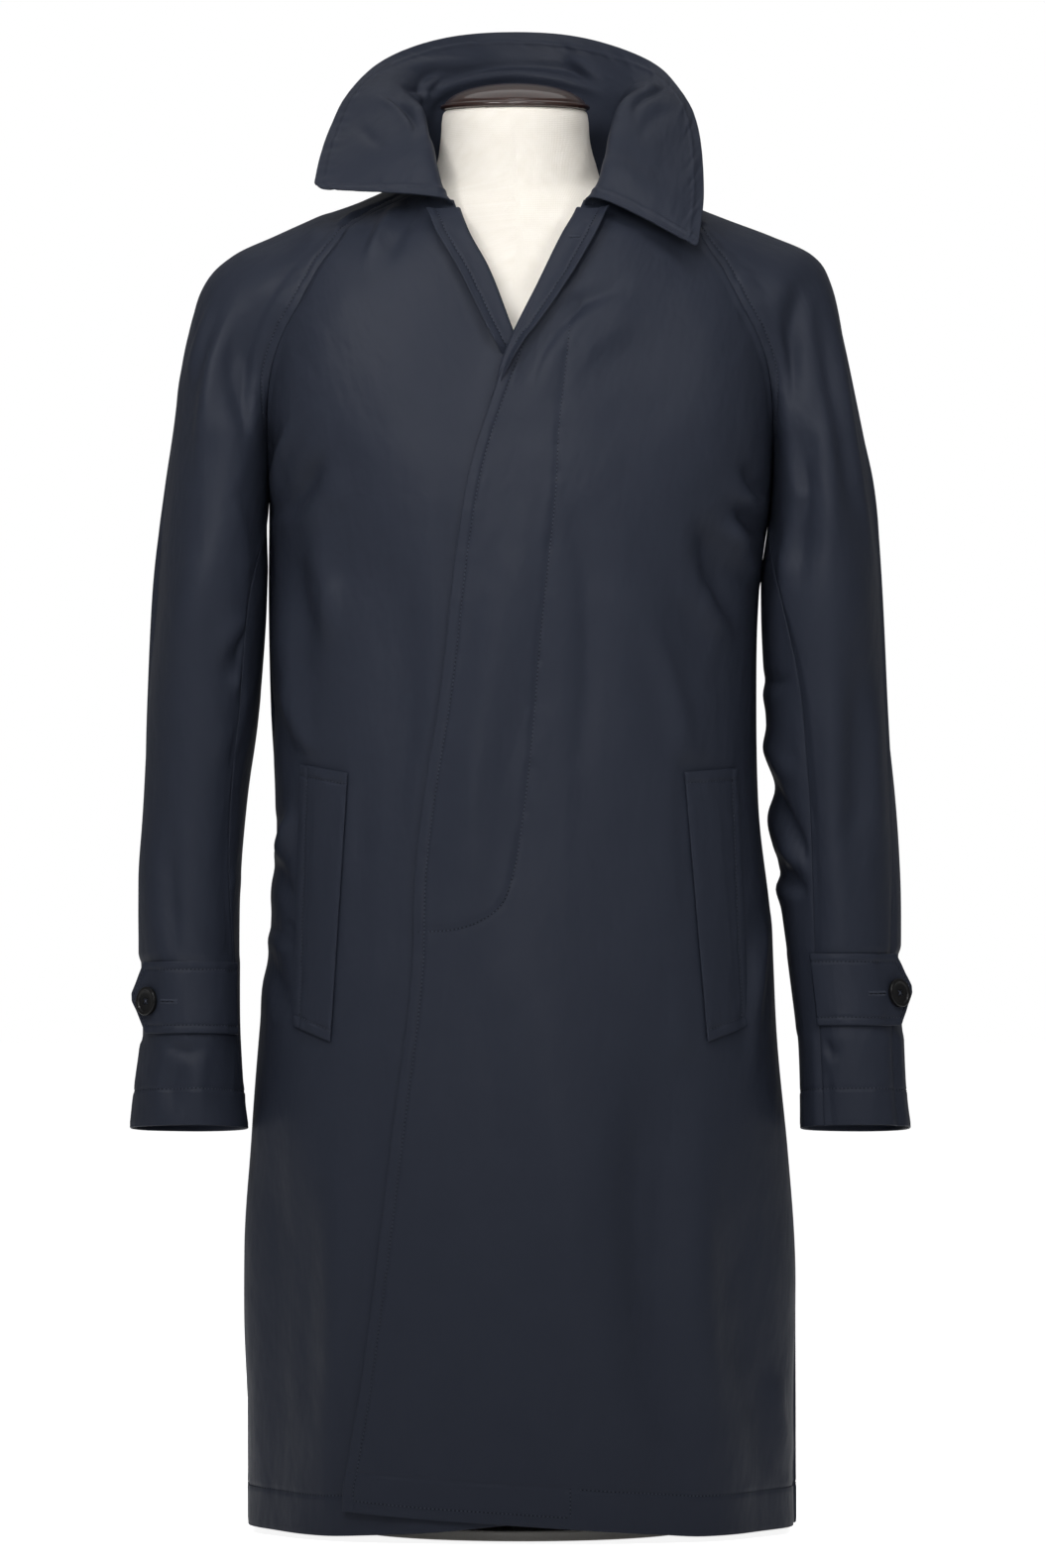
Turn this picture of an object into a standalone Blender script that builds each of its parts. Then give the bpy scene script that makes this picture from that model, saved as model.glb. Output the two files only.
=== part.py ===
"""Raincoat with raglan sleeves and a fly front, worn by a limbless dress form on a short stand.

Metres, +Z up. The coat faces -Y. Left and right are the wearer's, so the wearer's left is +X.
Every cloth piece is a grid of points on the coat's surface that cloth_wall gives its thickness.
"""

import math

import bmesh
import bpy
import numpy as np
from mathutils import Matrix, Vector

RIGHT = -1
LEFT = 1

# Thicknesses and clearances
CLOTH = 0.0016
COLLAR_CLOTH = 0.0026
TRIM_CLOTH = 0.0018
SEAM_GAP = 0.0003
LYING_GAP = 0.0008
FACING_GAP = 0.0010
ARMPIT_GAP = 0.0006

# Heights that several pieces share
HEM_Z = 0.0055
ARMPIT_Z = 0.7885
NOTCH_Z = 1.0155
BACK_NECK_RISE = 0.022


def table(names, *rows):
    """A table as a dictionary of named columns."""
    return dict(zip(names.split(), np.array(rows, float).T))


# Level sections of the coat's body: half widths to each side, depths, and the squareness of the oval
BODY = table(
    "z right left front back power",
    (0.0025, 0.2101, 0.2094, 0.168, 0.167, 2.30),
    (0.1765, 0.2109, 0.2086, 0.165, 0.163, 2.30),
    (0.2905, 0.2071, 0.2010, 0.159, 0.155, 2.30),
    (0.3815, 0.2003, 0.1922, 0.152, 0.145, 2.30),
    (0.4725, 0.1911, 0.1878, 0.145, 0.131, 2.30),
    (0.5415, 0.1889, 0.1813, 0.141, 0.122, 2.30),
    (0.6325, 0.1934, 0.1790, 0.140, 0.117, 2.30),
    (0.7245, 0.1950, 0.1813, 0.142, 0.119, 2.30),
    (0.7885, 0.1945, 0.1900, 0.141, 0.123, 2.70),
    (0.8565, 0.1980, 0.1930, 0.134, 0.126, 3.30),
    (0.9165, 0.2000, 0.1950, 0.122, 0.123, 3.00),
    (0.9625, 0.1990, 0.1940, 0.109, 0.115, 2.40),
    (0.9905, 0.1910, 0.1880, 0.100, 0.107, 1.90),
    (1.0055, 0.1577, 0.1530, 0.094, 0.099, 1.62),
    (1.0205, 0.1174, 0.1150, 0.088, 0.091, 1.60),
    (1.0335, 0.0900, 0.0880, 0.082, 0.083, 1.60),
    (1.0465, 0.0800, 0.0780, 0.076, 0.074, 1.60),
)

# Soft upright folds of the skirt: angle round the body from the front, angular width, depth, top
FLUTES = table(
    "angle width depth top",
    (58, 10, -0.0040, 0.36),
    (76, 8, 0.0030, 0.38),
    (-64, 10, -0.0030, 0.36),
    (-82, 8, 0.0020, 0.34),
    (122, 12, -0.0060, 0.46),
    (148, 12, 0.0050, 0.42),
    (-118, 12, -0.0050, 0.50),
    (-146, 12, 0.0055, 0.44),
    (-172, 11, -0.0045, 0.38),
)

# Free edges of the two fronts: below the V they overlap, and above it they are the roll lines
LEFT_EDGE = table(
    "z x",
    (0.0235, -0.1351),
    (0.1335, -0.1202),
    (0.2965, -0.1002),
    (0.4315, -0.0840),
    (0.5075, -0.0811),
    (0.5595, -0.0751),
    (0.6415, -0.0624),
    (0.7585, -0.0489),
    (0.8125, -0.0392),
    (0.8645, -0.0228),
    (0.9085, -0.0064),
    (0.9485, 0.0131),
    (0.9875, 0.0319),
    (1.0035, 0.0410),
    (1.0155, 0.0463),
)
RIGHT_EDGE = table(
    "z x",
    (0.0165, 0.0240),
    (0.3865, 0.0300),
    (0.6865, 0.0320),
    (0.7865, 0.0280),
    (0.8465, 0.0180),
    (0.8815, 0.0040),
    (0.9085, -0.0079),
    (0.9625, -0.0289),
    (0.9875, -0.0425),
    (1.0005, -0.0478),
    (1.0155, -0.0528),
)

# Hem heights across the two fronts
LEFT_HEM = table(
    "x z",
    (-0.1351, 0.0237),
    (-0.0808, 0.0192),
    (-0.0108, 0.0148),
    (0.1016, 0.0069),
    (0.1360, 0.0045),
    (0.2094, 0.0055),
)
RIGHT_HEM = table(
    "x z",
    (-0.2101, 0.0055),
    (-0.1553, 0.0041),
    (-0.1160, 0.0059),
    (-0.0637, 0.0092),
    (-0.0108, 0.0148),
    (0.0300, 0.0175),
)
HEM_BLEND = 0.30

# How far the left front stands off the right one, and how that fades to its own side
OVERLAP_LIFT = table(
    "z lift",
    (0.0165, 0.0032),
    (0.8265, 0.0034),
    (0.8865, 0.0062),
    (0.9365, 0.0060),
    (0.9865, 0.0),
    (1.0165, 0.0),
)
LIFT_FULL_X = 0.045
LIFT_GONE_X = 0.125

# Shoulder part of the sleeves, neck to armpit: the ridge, the raglan seam's height and its share of
# the body's half width, the lengths of the curve's two handles, and how far the second one turns
YOKE = table(
    "right_x right_z left_x left_z seam_z share reach swell turn",
    (0.0900, 1.0335, 0.0880, 1.0335, 1.0225, 0.740, 0.020, 0.012, 0.00),
    (0.1174, 1.0205, 0.1150, 1.0205, 1.0085, 0.747, 0.022, 0.013, 0.10),
    (0.1577, 1.0055, 0.1530, 1.0050, 0.9885, 0.715, 0.030, 0.018, 0.15),
    (0.1911, 0.9905, 0.1911, 0.9903, 0.9625, 0.785, 0.040, 0.027, 0.20),
    (0.2223, 0.9751, 0.2220, 0.9751, 0.9365, 0.850, 0.056, 0.036, 0.25),
    (0.2436, 0.9523, 0.2346, 0.9523, 0.9115, 0.918, 0.074, 0.040, 0.32),
    (0.2588, 0.9065, 0.2451, 0.9065, 0.8815, 0.967, 0.090, 0.052, 0.48),
    (0.2687, 0.8383, 0.2610, 0.8383, 0.8345, 0.993, 0.102, 0.077, 0.80),
    (0.2755, 0.7925, 0.2702, 0.7925, 0.7885, 1.000, 0.108, 0.108, 1.00),
)

# Arm part of the sleeves, armpit to cuff: outer and inner lines, middle, depth to front and back,
# forward tilt of the ring, and how far the seams turn to the front from the inner and outer lines
ARM = table(
    "z right_outer right_inner left_outer left_inner y depth tilt right_under left_under left_over",
    (0.7245, 0.2839, 0.1958, 0.2755, 0.1823, 0.000, 0.081, 0.00, 38, 38, 0),
    (0.6335, 0.2884, 0.2002, 0.2800, 0.1840, 0.003, 0.073, 0.01, 47, 64, 8),
    (0.5645, 0.2900, 0.2095, 0.2842, 0.1886, 0.003, 0.066, 0.02, 45, 66, 16),
    (0.4965, 0.2922, 0.2148, 0.2866, 0.1953, -0.002, 0.061, 0.04, 38, 62, 24),
    (0.4275, 0.2922, 0.2166, 0.2874, 0.2036, -0.011, 0.058, 0.06, 22, 55, 32),
    (0.3815, 0.2907, 0.2160, 0.2902, 0.2090, -0.019, 0.0565, 0.07, 16, 52, 37),
    (0.3365, 0.2960, 0.2132, 0.2930, 0.2112, -0.026, 0.056, 0.08, 12, 51, 40),
    (0.3085, 0.2994, 0.2096, 0.2968, 0.2118, -0.030, 0.0555, 0.08, 10, 51, 42),
)
ARMPIT_STATION = len(YOKE["share"]) - 1
CUFF_STATION = ARMPIT_STATION + len(ARM["z"])
HALF_OVAL_HANDLE = 4 / 3

# Collar: a profile for each share of the neck seam, by the corner that it rolls round and its edge
COLLAR = table(
    "along corner_x corner_y corner_z edge_x edge_y edge_z",
    (0.00, -0.0560, -0.0900, 1.0180, -0.1592, -0.0780, 1.0235),
    (0.10, -0.0470, -0.0720, 1.0665, -0.1545, -0.0500, 1.0485),
    (0.20, -0.0560, -0.0400, 1.1015, -0.1465, -0.0180, 1.0745),
    (0.30, -0.0760, 0.0020, 1.1145, -0.1319, 0.0140, 1.1045),
    (0.40, -0.0720, 0.0500, 1.1065, -0.0980, 0.0620, 1.1365),
    (0.45, -0.0400, 0.0740, 1.1035, -0.0570, 0.0900, 1.1515),
    (0.50, -0.0030, 0.0820, 1.1015, -0.0080, 0.1040, 1.1555),
    (0.55, 0.0350, 0.0740, 1.1035, 0.0430, 0.0900, 1.1520),
    (0.60, 0.0660, 0.0500, 1.1065, 0.0900, 0.0600, 1.1345),
    (0.70, 0.0720, 0.0020, 1.1165, 0.1193, 0.0220, 1.1060),
    (0.80, 0.0520, -0.0420, 1.1015, 0.1334, -0.0150, 1.0739),
    (0.90, 0.0440, -0.0760, 1.0645, 0.1372, -0.0660, 1.0235),
    (1.00, 0.0490, -0.0920, 1.0235, 0.1324, -0.1070, 0.9775),
)
COLLAR_SHARPNESS = 0.85
COLLAR_SEAM_RISE = 0.0012

# Turned-back facings: width on each front at each height
FACING = table(
    "z right left",
    (0.8865, 0.0020, 0.0050),
    (0.9005, 0.0030, 0.0105),
    (0.9095, 0.0115, 0.0145),
    (0.9355, 0.0205, 0.0220),
    (0.9645, 0.0255, 0.0285),
    (0.9905, 0.0255, 0.0265),
    (1.0095, 0.0240, 0.0240),
)
FACING_FOOT = {RIGHT: 0.9105, LEFT: 0.8875}
FACING_TOP = 1.0060
FACING_SPRING = 0.0028

# Pocket welts: the four corners as x outward from the middle and z
POCKET = {
    RIGHT: {"top": (0.1316, 0.5798, 0.1672, 0.5865), "foot": (0.1444, 0.3765, 0.1725, 0.3881)},
    LEFT: {"top": (0.1211, 0.5805, 0.1612, 0.5835), "foot": (0.1384, 0.3765, 0.1695, 0.3881)},
}

# Cuff straps: middle height, half width, where they start and leave the sleeve, reach of the point
STRAP = {
    RIGHT: {"z": 0.4060, "start": 158, "leave": 50, "tip_x": 0.2990, "button_x": 0.2850},
    LEFT: {"z": 0.4120, "start": 128, "leave": 50, "tip_x": 0.2972, "button_x": 0.2852},
}
STRAP_HALF_WIDTH = 0.0275
STRAP_POINT = 0.016
STRAP_TIP_HALF = 0.0025

# Cuff buttons
BUTTON_RADIUS = 0.0110
BUTTON_THICK = 0.0036
BUTTON_RIM = 0.0024
BUTTON_WELL = 0.0011
BUTTON_ROUND = 0.0008
BUTTON_SLOPE = 0.0010
BUTTON_HOLE = 0.0011
BUTTON_HOLE_SPREAD = 0.0024
BUTTON_SIDES = 28

# Dress form: level sections of its body with the place of its axis
FORM = table(
    "z x y half front back power",
    (0.4065, 0.000, 0.000, 0.140, 0.098, 0.092, 2.2),
    (0.4185, 0.000, 0.000, 0.150, 0.107, 0.100, 2.2),
    (0.4865, 0.000, 0.000, 0.158, 0.116, 0.104, 2.2),
    (0.5665, 0.000, 0.000, 0.148, 0.110, 0.094, 2.2),
    (0.6665, 0.000, 0.000, 0.152, 0.114, 0.094, 2.2),
    (0.7865, 0.000, 0.000, 0.162, 0.119, 0.101, 2.2),
    (0.8665, 0.000, 0.000, 0.170, 0.112, 0.106, 2.1),
    (0.9265, 0.000, 0.000, 0.176, 0.098, 0.103, 1.9),
    (0.9665, 0.000, 0.000, 0.177, 0.084, 0.094, 1.65),
    (0.9865, 0.000, 0.000, 0.172, 0.077, 0.086, 1.5),
    (1.0005, -0.0025, 0.000, 0.1608, 0.073, 0.079, 1.45),
    (1.0145, -0.002, 0.000, 0.106, 0.066, 0.068, 1.6),
    (1.0265, -0.004, -0.001, 0.071, 0.061, 0.060, 1.8),
    (1.0465, -0.005, -0.002, 0.061, 0.058, 0.057, 2.0),
    (1.0665, -0.006, -0.003, 0.057, 0.057, 0.0565, 2.0),
    (1.0845, -0.006, -0.004, 0.0553, 0.0555, 0.0555, 2.0),
    (1.0870, -0.006, -0.004, 0.0535, 0.0540, 0.0540, 2.0),
)
FORM_SIDES = 40

# Neck cap, turned about the neck's axis: radius and height of its profile above its seat
CAP_SEAT_Z = 1.0873
CAP_AXIS = (-0.006, -0.004)
CAP_PROFILE = table(
    "radius height",
    (0.0550, 0.0000),
    (0.0568, 0.0010),
    (0.0574, 0.0025),
    (0.0566, 0.0040),
    (0.0548, 0.0046),
    (0.0530, 0.0072),
    (0.0470, 0.0120),
    (0.0370, 0.0162),
    (0.0240, 0.0192),
    (0.0110, 0.0206),
    (0.0000, 0.0210),
)
CAP_SIDES = 32

# Stand
BASE_RADIUS = 0.130
BASE_THICK = 0.008
BASE_BEVEL = 0.002
POLE_RADIUS = 0.016
STAND_SIDES = 40

# Grid sizes: rows and columns
BODY_ROWS_BELOW = 15
SHOULDER_ROWS = 12
FRONT_COLUMNS = 16
BACK_COLUMNS = 21
ARM_ROWS = 13
SLEEVE_COLUMNS = 11
COLLAR_COLUMNS = 39
COLLAR_ROWS = 10
FACING_ROWS = 12
WELT_GRID = (12, 5)
STRAP_GRID = (9, 6, 5)

# Widths that the half seam gap is taken as a share of
PANEL_WIDTH = 0.25
SLEEVE_WIDTH = 0.05


def slopes(keys, values):
    """Slopes that carry a smooth curve through the values without overshoot."""
    rise = np.diff(values) / np.diff(keys)
    before = np.concatenate([rise[:1], rise])
    after = np.concatenate([rise, rise[-1:]])
    steepest = 3 * np.minimum(abs(before), abs(after))
    mean = np.clip((before + after) / 2, -steepest, steepest)
    return np.where(before * after <= 0, 0.0, mean)


def curve(keys, values, at):
    """A smooth curve through values at keys, read at one or more places."""
    at = np.clip(np.asarray(at, float), keys[0], keys[-1])
    slope = slopes(keys, values)
    i = np.clip(np.searchsorted(keys, at) - 1, 0, len(keys) - 2)
    step = keys[i + 1] - keys[i]
    t = (at - keys[i]) / step
    start = values[i] * (1 + 2 * t) * (1 - t) ** 2 + slope[i] * step * t * (1 - t) ** 2
    end = values[i + 1] * t * t * (3 - 2 * t) - slope[i + 1] * step * t * t * (1 - t)
    return start + end


def read(rows, column, at, key="z"):
    return curve(rows[key], rows[column], at)


def mix(a, b, share):
    return a + (b - a) * share


def ease(low, high, value):
    """0 below low, 1 above high, and a soft step between them."""
    t = np.clip((value - low) / (high - low), 0, 1)
    return t * t * (3 - 2 * t)


def oval(angle, half, deep, power):
    """Across and ahead on a squared oval, at angles from straight ahead."""
    across = np.sin(angle)
    ahead = np.cos(angle)
    x = half * np.sign(across) * abs(across) ** (2 / power)
    y = -deep * np.sign(ahead) * abs(ahead) ** (2 / power)
    return x, y


def flutes(angle, z):
    """How far the skirt's soft folds stand out at an angle and height."""
    total = np.zeros(np.broadcast(angle, z).shape)
    for centre, width, depth, top in zip(*FLUTES.values()):
        away = (np.degrees(angle) - centre + 180) % 360 - 180
        total = total + depth * np.exp(-((away / width) ** 2)) * ease(0, 1, 1 - z / top)
    return total


def body_point(angle, z):
    """A point of the coat's body at an angle from the front, growing to the wearer's left."""
    half = np.where(np.sin(angle) < 0, read(BODY, "right", z), read(BODY, "left", z))
    deep = np.where(np.cos(angle) > 0, read(BODY, "front", z), read(BODY, "back", z))
    x, y = oval(angle, half, deep, read(BODY, "power", z))
    out = flutes(angle, z)
    return np.stack(np.broadcast_arrays(x + out * np.sin(angle), y - out * np.cos(angle), z), -1)


def share_angle(share, z):
    return np.arcsin(np.clip(share, 0, 1) ** (read(BODY, "power", z) / 2))


def body_angle(x, z):
    """The angle from the front at which the body's front half is at x."""
    half = np.where(x < 0, read(BODY, "right", z), read(BODY, "left", z))
    return np.sign(x) * share_angle(abs(x) / half, z)


def grid_normals(grid):
    """Unit normals of a grid of points, columns crossed with rows."""
    normal = np.cross(np.gradient(grid, axis=1), np.gradient(grid, axis=0))
    return normal / np.linalg.norm(normal, axis=2, keepdims=True)


def front_lift(side, x, z):
    """How far the overlapping left front stands off the body's surface."""
    if side == RIGHT:
        return np.zeros(np.broadcast(x, z).shape)
    return read(OVERLAP_LIFT, "lift", z) * (1 - ease(LIFT_FULL_X, LIFT_GONE_X, x))


def front_surface(side, x, z):
    """A point of a front panel's outside at x and z."""
    point = body_point(body_angle(x, z), z)
    point[..., 1] -= front_lift(side, x, z)
    return point


def front_normal(side, x, z):
    """The outward unit normal of a front panel at x and z."""
    step = 0.002
    across = front_surface(side, x + step, z) - front_surface(side, x - step, z)
    up = front_surface(side, x, z + step) - front_surface(side, x, z - step)
    normal = np.cross(across, up)
    return normal / np.linalg.norm(normal, axis=-1, keepdims=True)


def body_normal(angle, z):
    """The outward unit normal of the body at an angle and height."""
    step = 0.01
    across = body_point(angle + step, z) - body_point(angle - step, z)
    up = body_point(angle, z + step / 4) - body_point(angle, z - step / 4)
    normal = np.cross(across, up)
    return normal / np.linalg.norm(normal, axis=-1, keepdims=True)


def seam_station(rise):
    """Sleeve station of a body row above the armpit, rise 0 at the armpit and 1 at the neck."""
    return ARMPIT_STATION * (1 - rise)


def yoke(column, station):
    return curve(np.arange(ARMPIT_STATION + 1.0), YOKE[column], station)


def raglan_seam(side, ahead, station):
    """A point of the raglan seam, ahead or behind, and the body's normal there."""
    z = yoke("seam_z", station)
    angle = share_angle(yoke("share", station), z)
    angle = side * np.where(ahead, angle, math.pi - angle)
    return body_point(angle, z), body_normal(angle, z)


def body_rows(below, above):
    """Row places of a body panel: 0 hem, 1 armpit, 2 neck."""
    return np.concatenate([np.linspace(0, 1, below), np.linspace(1, 2, above)[1:]])


def side_of_row(row):
    """Height and angle from the front, in size, of a row's end at the side or raglan seam."""
    below = mix(HEM_Z, ARMPIT_Z, np.clip(row, 0, 1))
    station = seam_station(np.clip(row - 1, 0, 1))
    z = np.where(row <= 1, below, yoke("seam_z", station))
    angle = np.where(row <= 1, math.pi / 2, share_angle(yoke("share", station), z))
    return z, angle


def front_grid(side, rows, across):
    """Points of a front panel; across runs from 0 at its free edge to 1 at the side seam."""
    edge, hem = (LEFT_EDGE, LEFT_HEM) if side == LEFT else (RIGHT_EDGE, RIGHT_HEM)
    row = rows[:, None]
    share = across[None, :]
    side_z, side_angle = side_of_row(row)
    edge_z = np.where(row <= 1, side_z, mix(ARMPIT_Z, NOTCH_Z, row - 1))
    edge_angle = body_angle(read(edge, "x", edge_z), edge_z)
    angle = mix(edge_angle, side * side_angle, share)
    z = mix(edge_z, side_z, share)
    x = body_point(angle, z)[..., 0]
    z = z + (read(hem, "z", x, "x") - HEM_Z) * np.clip(1 - row / HEM_BLEND, 0, 1) ** 2
    point = body_point(angle, z)
    point[..., 1] -= front_lift(side, point[..., 0], z)
    return point


def back_grid(rows, across):
    """Points of the back panel; across runs from -1 at the right seam to 1 at the left."""
    row = rows[:, None]
    share = across[None, :]
    side_z, side_angle = side_of_row(row)
    z = side_z + BACK_NECK_RISE * np.clip(row - 1, 0, 1) ** 2 * (1 - share ** 2)
    return body_point(math.pi - side_angle * share, z)


def sleeve_line(side, columns, station):
    """One coordinate along the sleeve's outer line: the yoke's ridge, then the arm's."""
    yoke_column, arm_column = columns
    values = np.concatenate([YOKE[yoke_column], ARM[arm_column]])
    return curve(np.arange(len(values) + 0.0), values, station)


def arm(column, station, at_armpit):
    """An arm column carried up to the armpit ring, where it has the value at_armpit."""
    values = np.concatenate([[at_armpit], ARM[column]])
    return curve(np.arange(len(values) + 0.0), values, np.clip(station - ARMPIT_STATION, 0, None))


def seam_turn(side, which, station):
    """Angle in radians by which a sleeve seam turns to the front."""
    if side == RIGHT and which == "over":
        return np.zeros(np.shape(station))
    word = "left" if side == LEFT else "right"
    return np.radians(arm(f"{word}_{which}", station, 0.0))


def bezier(a, b, c, d, t):
    t = t[..., None]
    return a * (1 - t) ** 3 + 3 * b * t * (1 - t) ** 2 + 3 * c * t * t * (1 - t) + d * t ** 3


def sleeve_point(side, station, turn):
    """A point of a sleeve: turn is 0 on the outer line, pi / 2 in front and pi on the inner line."""
    station, turn = np.broadcast_arrays(np.asarray(station, float), turn)
    word = "left" if side == LEFT else "right"
    forward = np.where(turn <= math.pi, -1.0, 1.0)
    on_arm = station > ARMPIT_STATION
    middle = arm("y", station, 0.0)
    outer_x = side * sleeve_line(side, (f"{word}_x", f"{word}_outer"), station)
    outer_z = sleeve_line(side, (f"{word}_z", "z"), station)
    outer = np.stack([outer_x, middle, outer_z], -1)

    on_yoke = np.clip(station, 0, ARMPIT_STATION)
    seam, normal = raglan_seam(side, forward < 0, on_yoke)
    seam = seam + normal * (ARMPIT_GAP * yoke("turn", on_yoke))[..., None]
    armpit_x = read(BODY, word, ARMPIT_Z) + ARMPIT_GAP
    inner_x = side * arm(f"{word}_inner", station, armpit_x)
    inner = np.stack([inner_x, middle, arm("z", station, ARMPIT_Z)], -1)
    inner = np.where(on_arm[..., None], inner, seam)

    depth = arm("depth", station, YOKE["reach"][-1] / HALF_OVAL_HANDLE) * HALF_OVAL_HANDLE
    reach = np.where(on_arm, depth, yoke("reach", on_yoke))
    swell = np.where(on_arm, depth, yoke("swell", on_yoke))
    swing = np.where(on_arm, 1.0, yoke("turn", on_yoke)) * math.pi / 2
    ahead = np.stack([np.zeros_like(forward), forward, np.zeros_like(forward)], -1)
    aside = outer - inner
    aside = aside - normal * np.sum(aside * normal, -1, keepdims=True)
    aside = aside / np.linalg.norm(aside, axis=-1, keepdims=True)
    seam_handle = aside * np.cos(swing)[..., None] + ahead * np.sin(swing)[..., None]

    t = np.where(turn <= math.pi, turn, 2 * math.pi - turn) / math.pi
    point = bezier(outer, outer + ahead * reach[..., None], inner + seam_handle * swell[..., None],
                   inner, t)
    point[..., 2] -= arm("tilt", station, 0.0) * (point[..., 1] - middle)
    return point


def sleeve_rows(on_yoke, on_arm):
    upper = np.linspace(0, ARMPIT_STATION, on_yoke)
    lower = np.linspace(ARMPIT_STATION, CUFF_STATION, on_arm)
    return np.concatenate([upper, lower[1:]])


def sleeve_grid(side, face, stations, across):
    """Points of a sleeve's front or back half; across is 0 at the overarm seam, 1 at the other."""
    station = stations[:, None]
    over = seam_turn(side, "over", station)
    under = math.pi - seam_turn(side, "under", station)
    if face == "back":
        over = over + 2 * math.pi
    turn = mix(over, under, across[None, :])
    turn = np.where(turn > 2 * math.pi, turn - 2 * math.pi, turn)
    return sleeve_point(side, station, turn)


def spread(points, count):
    """Points spaced evenly along a line of points."""
    steps = np.linalg.norm(np.diff(points, axis=0), axis=1)
    along = np.concatenate([[0], np.cumsum(steps)])
    at = np.linspace(0, along[-1], count)
    return np.stack([np.interp(at, along, points[:, k]) for k in range(3)], -1)


def neckline(count):
    """The neck seam from the right notch round the back to the left notch."""
    inset = SEAM_GAP / 2 / SLEEVE_WIDTH
    fine = trimmed(12, inset, inset)
    top = np.array([2.0])
    neck = np.array([0.0])
    front_right = front_grid(RIGHT, top, fine)[0]
    sleeve_right = np.concatenate([
        sleeve_grid(RIGHT, "front", neck, fine)[0][::-1],
        sleeve_grid(RIGHT, "back", neck, fine)[0],
    ])
    back = back_grid(top, np.linspace(-1, 1, 24))[0]
    sleeve_left = np.concatenate([
        sleeve_grid(LEFT, "back", neck, fine)[0][::-1],
        sleeve_grid(LEFT, "front", neck, fine)[0],
    ])
    front_left = front_grid(LEFT, top, fine)[0][::-1]
    return spread(np.concatenate([front_right, sleeve_right, back, sleeve_left, front_left]), count)


def collar_grid(columns, rows):
    """Points of the collar's outside, a rolled profile for each place along the neck seam."""
    along = np.linspace(0, 1, columns)
    base = neckline(columns) + np.array([0, 0, COLLAR_SEAM_RISE])
    corner = np.stack([read(COLLAR, f"corner_{axis}", along, "along") for axis in "xyz"], -1)
    edge = np.stack([read(COLLAR, f"edge_{axis}", along, "along") for axis in "xyz"], -1)
    t = np.linspace(0, 1, rows)[:, None] + np.zeros(columns)
    return bezier(base, mix(base, corner, COLLAR_SHARPNESS), mix(edge, corner, COLLAR_SHARPNESS),
                  edge, t)


def facing_grid(side, rows):
    """Points of a turned-back facing, from inside the front's edge round it to its free edge."""
    edge = LEFT_EDGE if side == LEFT else RIGHT_EDGE
    z = np.linspace(FACING_FOOT[side], FACING_TOP, rows)
    fold = read(edge, "x", z)
    width = read(FACING, "left" if side == LEFT else "right", z)
    roll = CLOTH / 2 + FACING_GAP + TRIM_CLOTH
    normal = front_normal(side, fold, z)
    heart = front_surface(side, fold, z) - normal * CLOTH / 2
    off_edge = np.cross(np.gradient(heart, axis=0), normal)
    off_edge *= -side * np.sign(off_edge[:, :1]) / np.linalg.norm(off_edge, axis=1, keepdims=True)
    lines = []
    for angle in np.radians([-90, -45, 0, 45]):
        lines.append(heart + off_edge * roll * math.cos(angle) + normal * roll * math.sin(angle))
    for share in (0.0, 0.35, 0.7, 1.0):
        x = fold + side * width * share
        height = FACING_GAP + TRIM_CLOTH + FACING_SPRING * share ** 2
        lines.append(front_surface(side, x, z) + front_normal(side, x, z) * height)
    return np.stack(lines, 1)


def welt_grid(side, rows, columns):
    """Points of a pocket welt, lying on its front panel."""
    top_in_x, top_in_z, top_out_x, top_out_z = POCKET[side]["top"]
    foot_in_x, foot_in_z, foot_out_x, foot_out_z = POCKET[side]["foot"]
    up = np.linspace(0, 1, rows)[:, None]
    out = np.linspace(0, 1, columns)[None, :]
    x = mix(mix(foot_in_x, foot_out_x, out), mix(top_in_x, top_out_x, out), up)
    z = mix(mix(foot_in_z, foot_out_z, out), mix(top_in_z, top_out_z, out), up)
    base = front_surface(side, side * x, z)
    return base + grid_normals(base) * side * (LYING_GAP + TRIM_CLOTH)


def station_at(z):
    """Sleeve station of a height below the armpit."""
    stations = np.linspace(ARMPIT_STATION, CUFF_STATION, 200)
    heights = arm("z", stations, ARMPIT_Z)
    return np.interp(-np.asarray(z), -heights, stations)


def strap_line(side, z, turn):
    """A level line of the strap on the sleeve, standing clear of it."""
    station = station_at(z)
    point = sleeve_point(side, station, turn)
    after = sleeve_point(side, station, turn - 0.01)
    tangent = after - point
    tangent[..., 2] = 0
    tangent /= np.linalg.norm(tangent, axis=-1, keepdims=True)
    outward = np.stack([tangent[..., 1], -tangent[..., 0], tangent[..., 2]], -1) * side
    return point + outward * (LYING_GAP + TRIM_CLOTH), tangent


def strap_grid(side, on_sleeve, on_end, rows):
    """Points of a cuff strap: it follows the sleeve, then its pointed end runs straight on."""
    size = STRAP[side]
    turns = np.radians(np.linspace(size["start"], size["leave"], on_sleeve))
    leave, tangent = strap_line(side, size["z"], turns[-1:])
    length = (size["tip_x"] - abs(leave[0, 0])) / abs(tangent[0, 0])
    runs = np.linspace(0, length, on_end)[1:]
    half = np.concatenate([np.full(on_sleeve, STRAP_HALF_WIDTH),
                           mix(STRAP_HALF_WIDTH, STRAP_TIP_HALF,
                               np.clip((runs - length + STRAP_POINT) / STRAP_POINT, 0, 1))])
    turns = np.concatenate([turns, np.full(on_end - 1, turns[-1])])
    runs = np.concatenate([np.zeros(on_sleeve), runs])
    lines = []
    for share in np.linspace(-1, 1, rows):
        point, tangent = strap_line(side, size["z"] + half * share, turns)
        lines.append(point + tangent * runs[:, None])
    return np.stack(lines, 0)


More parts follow.
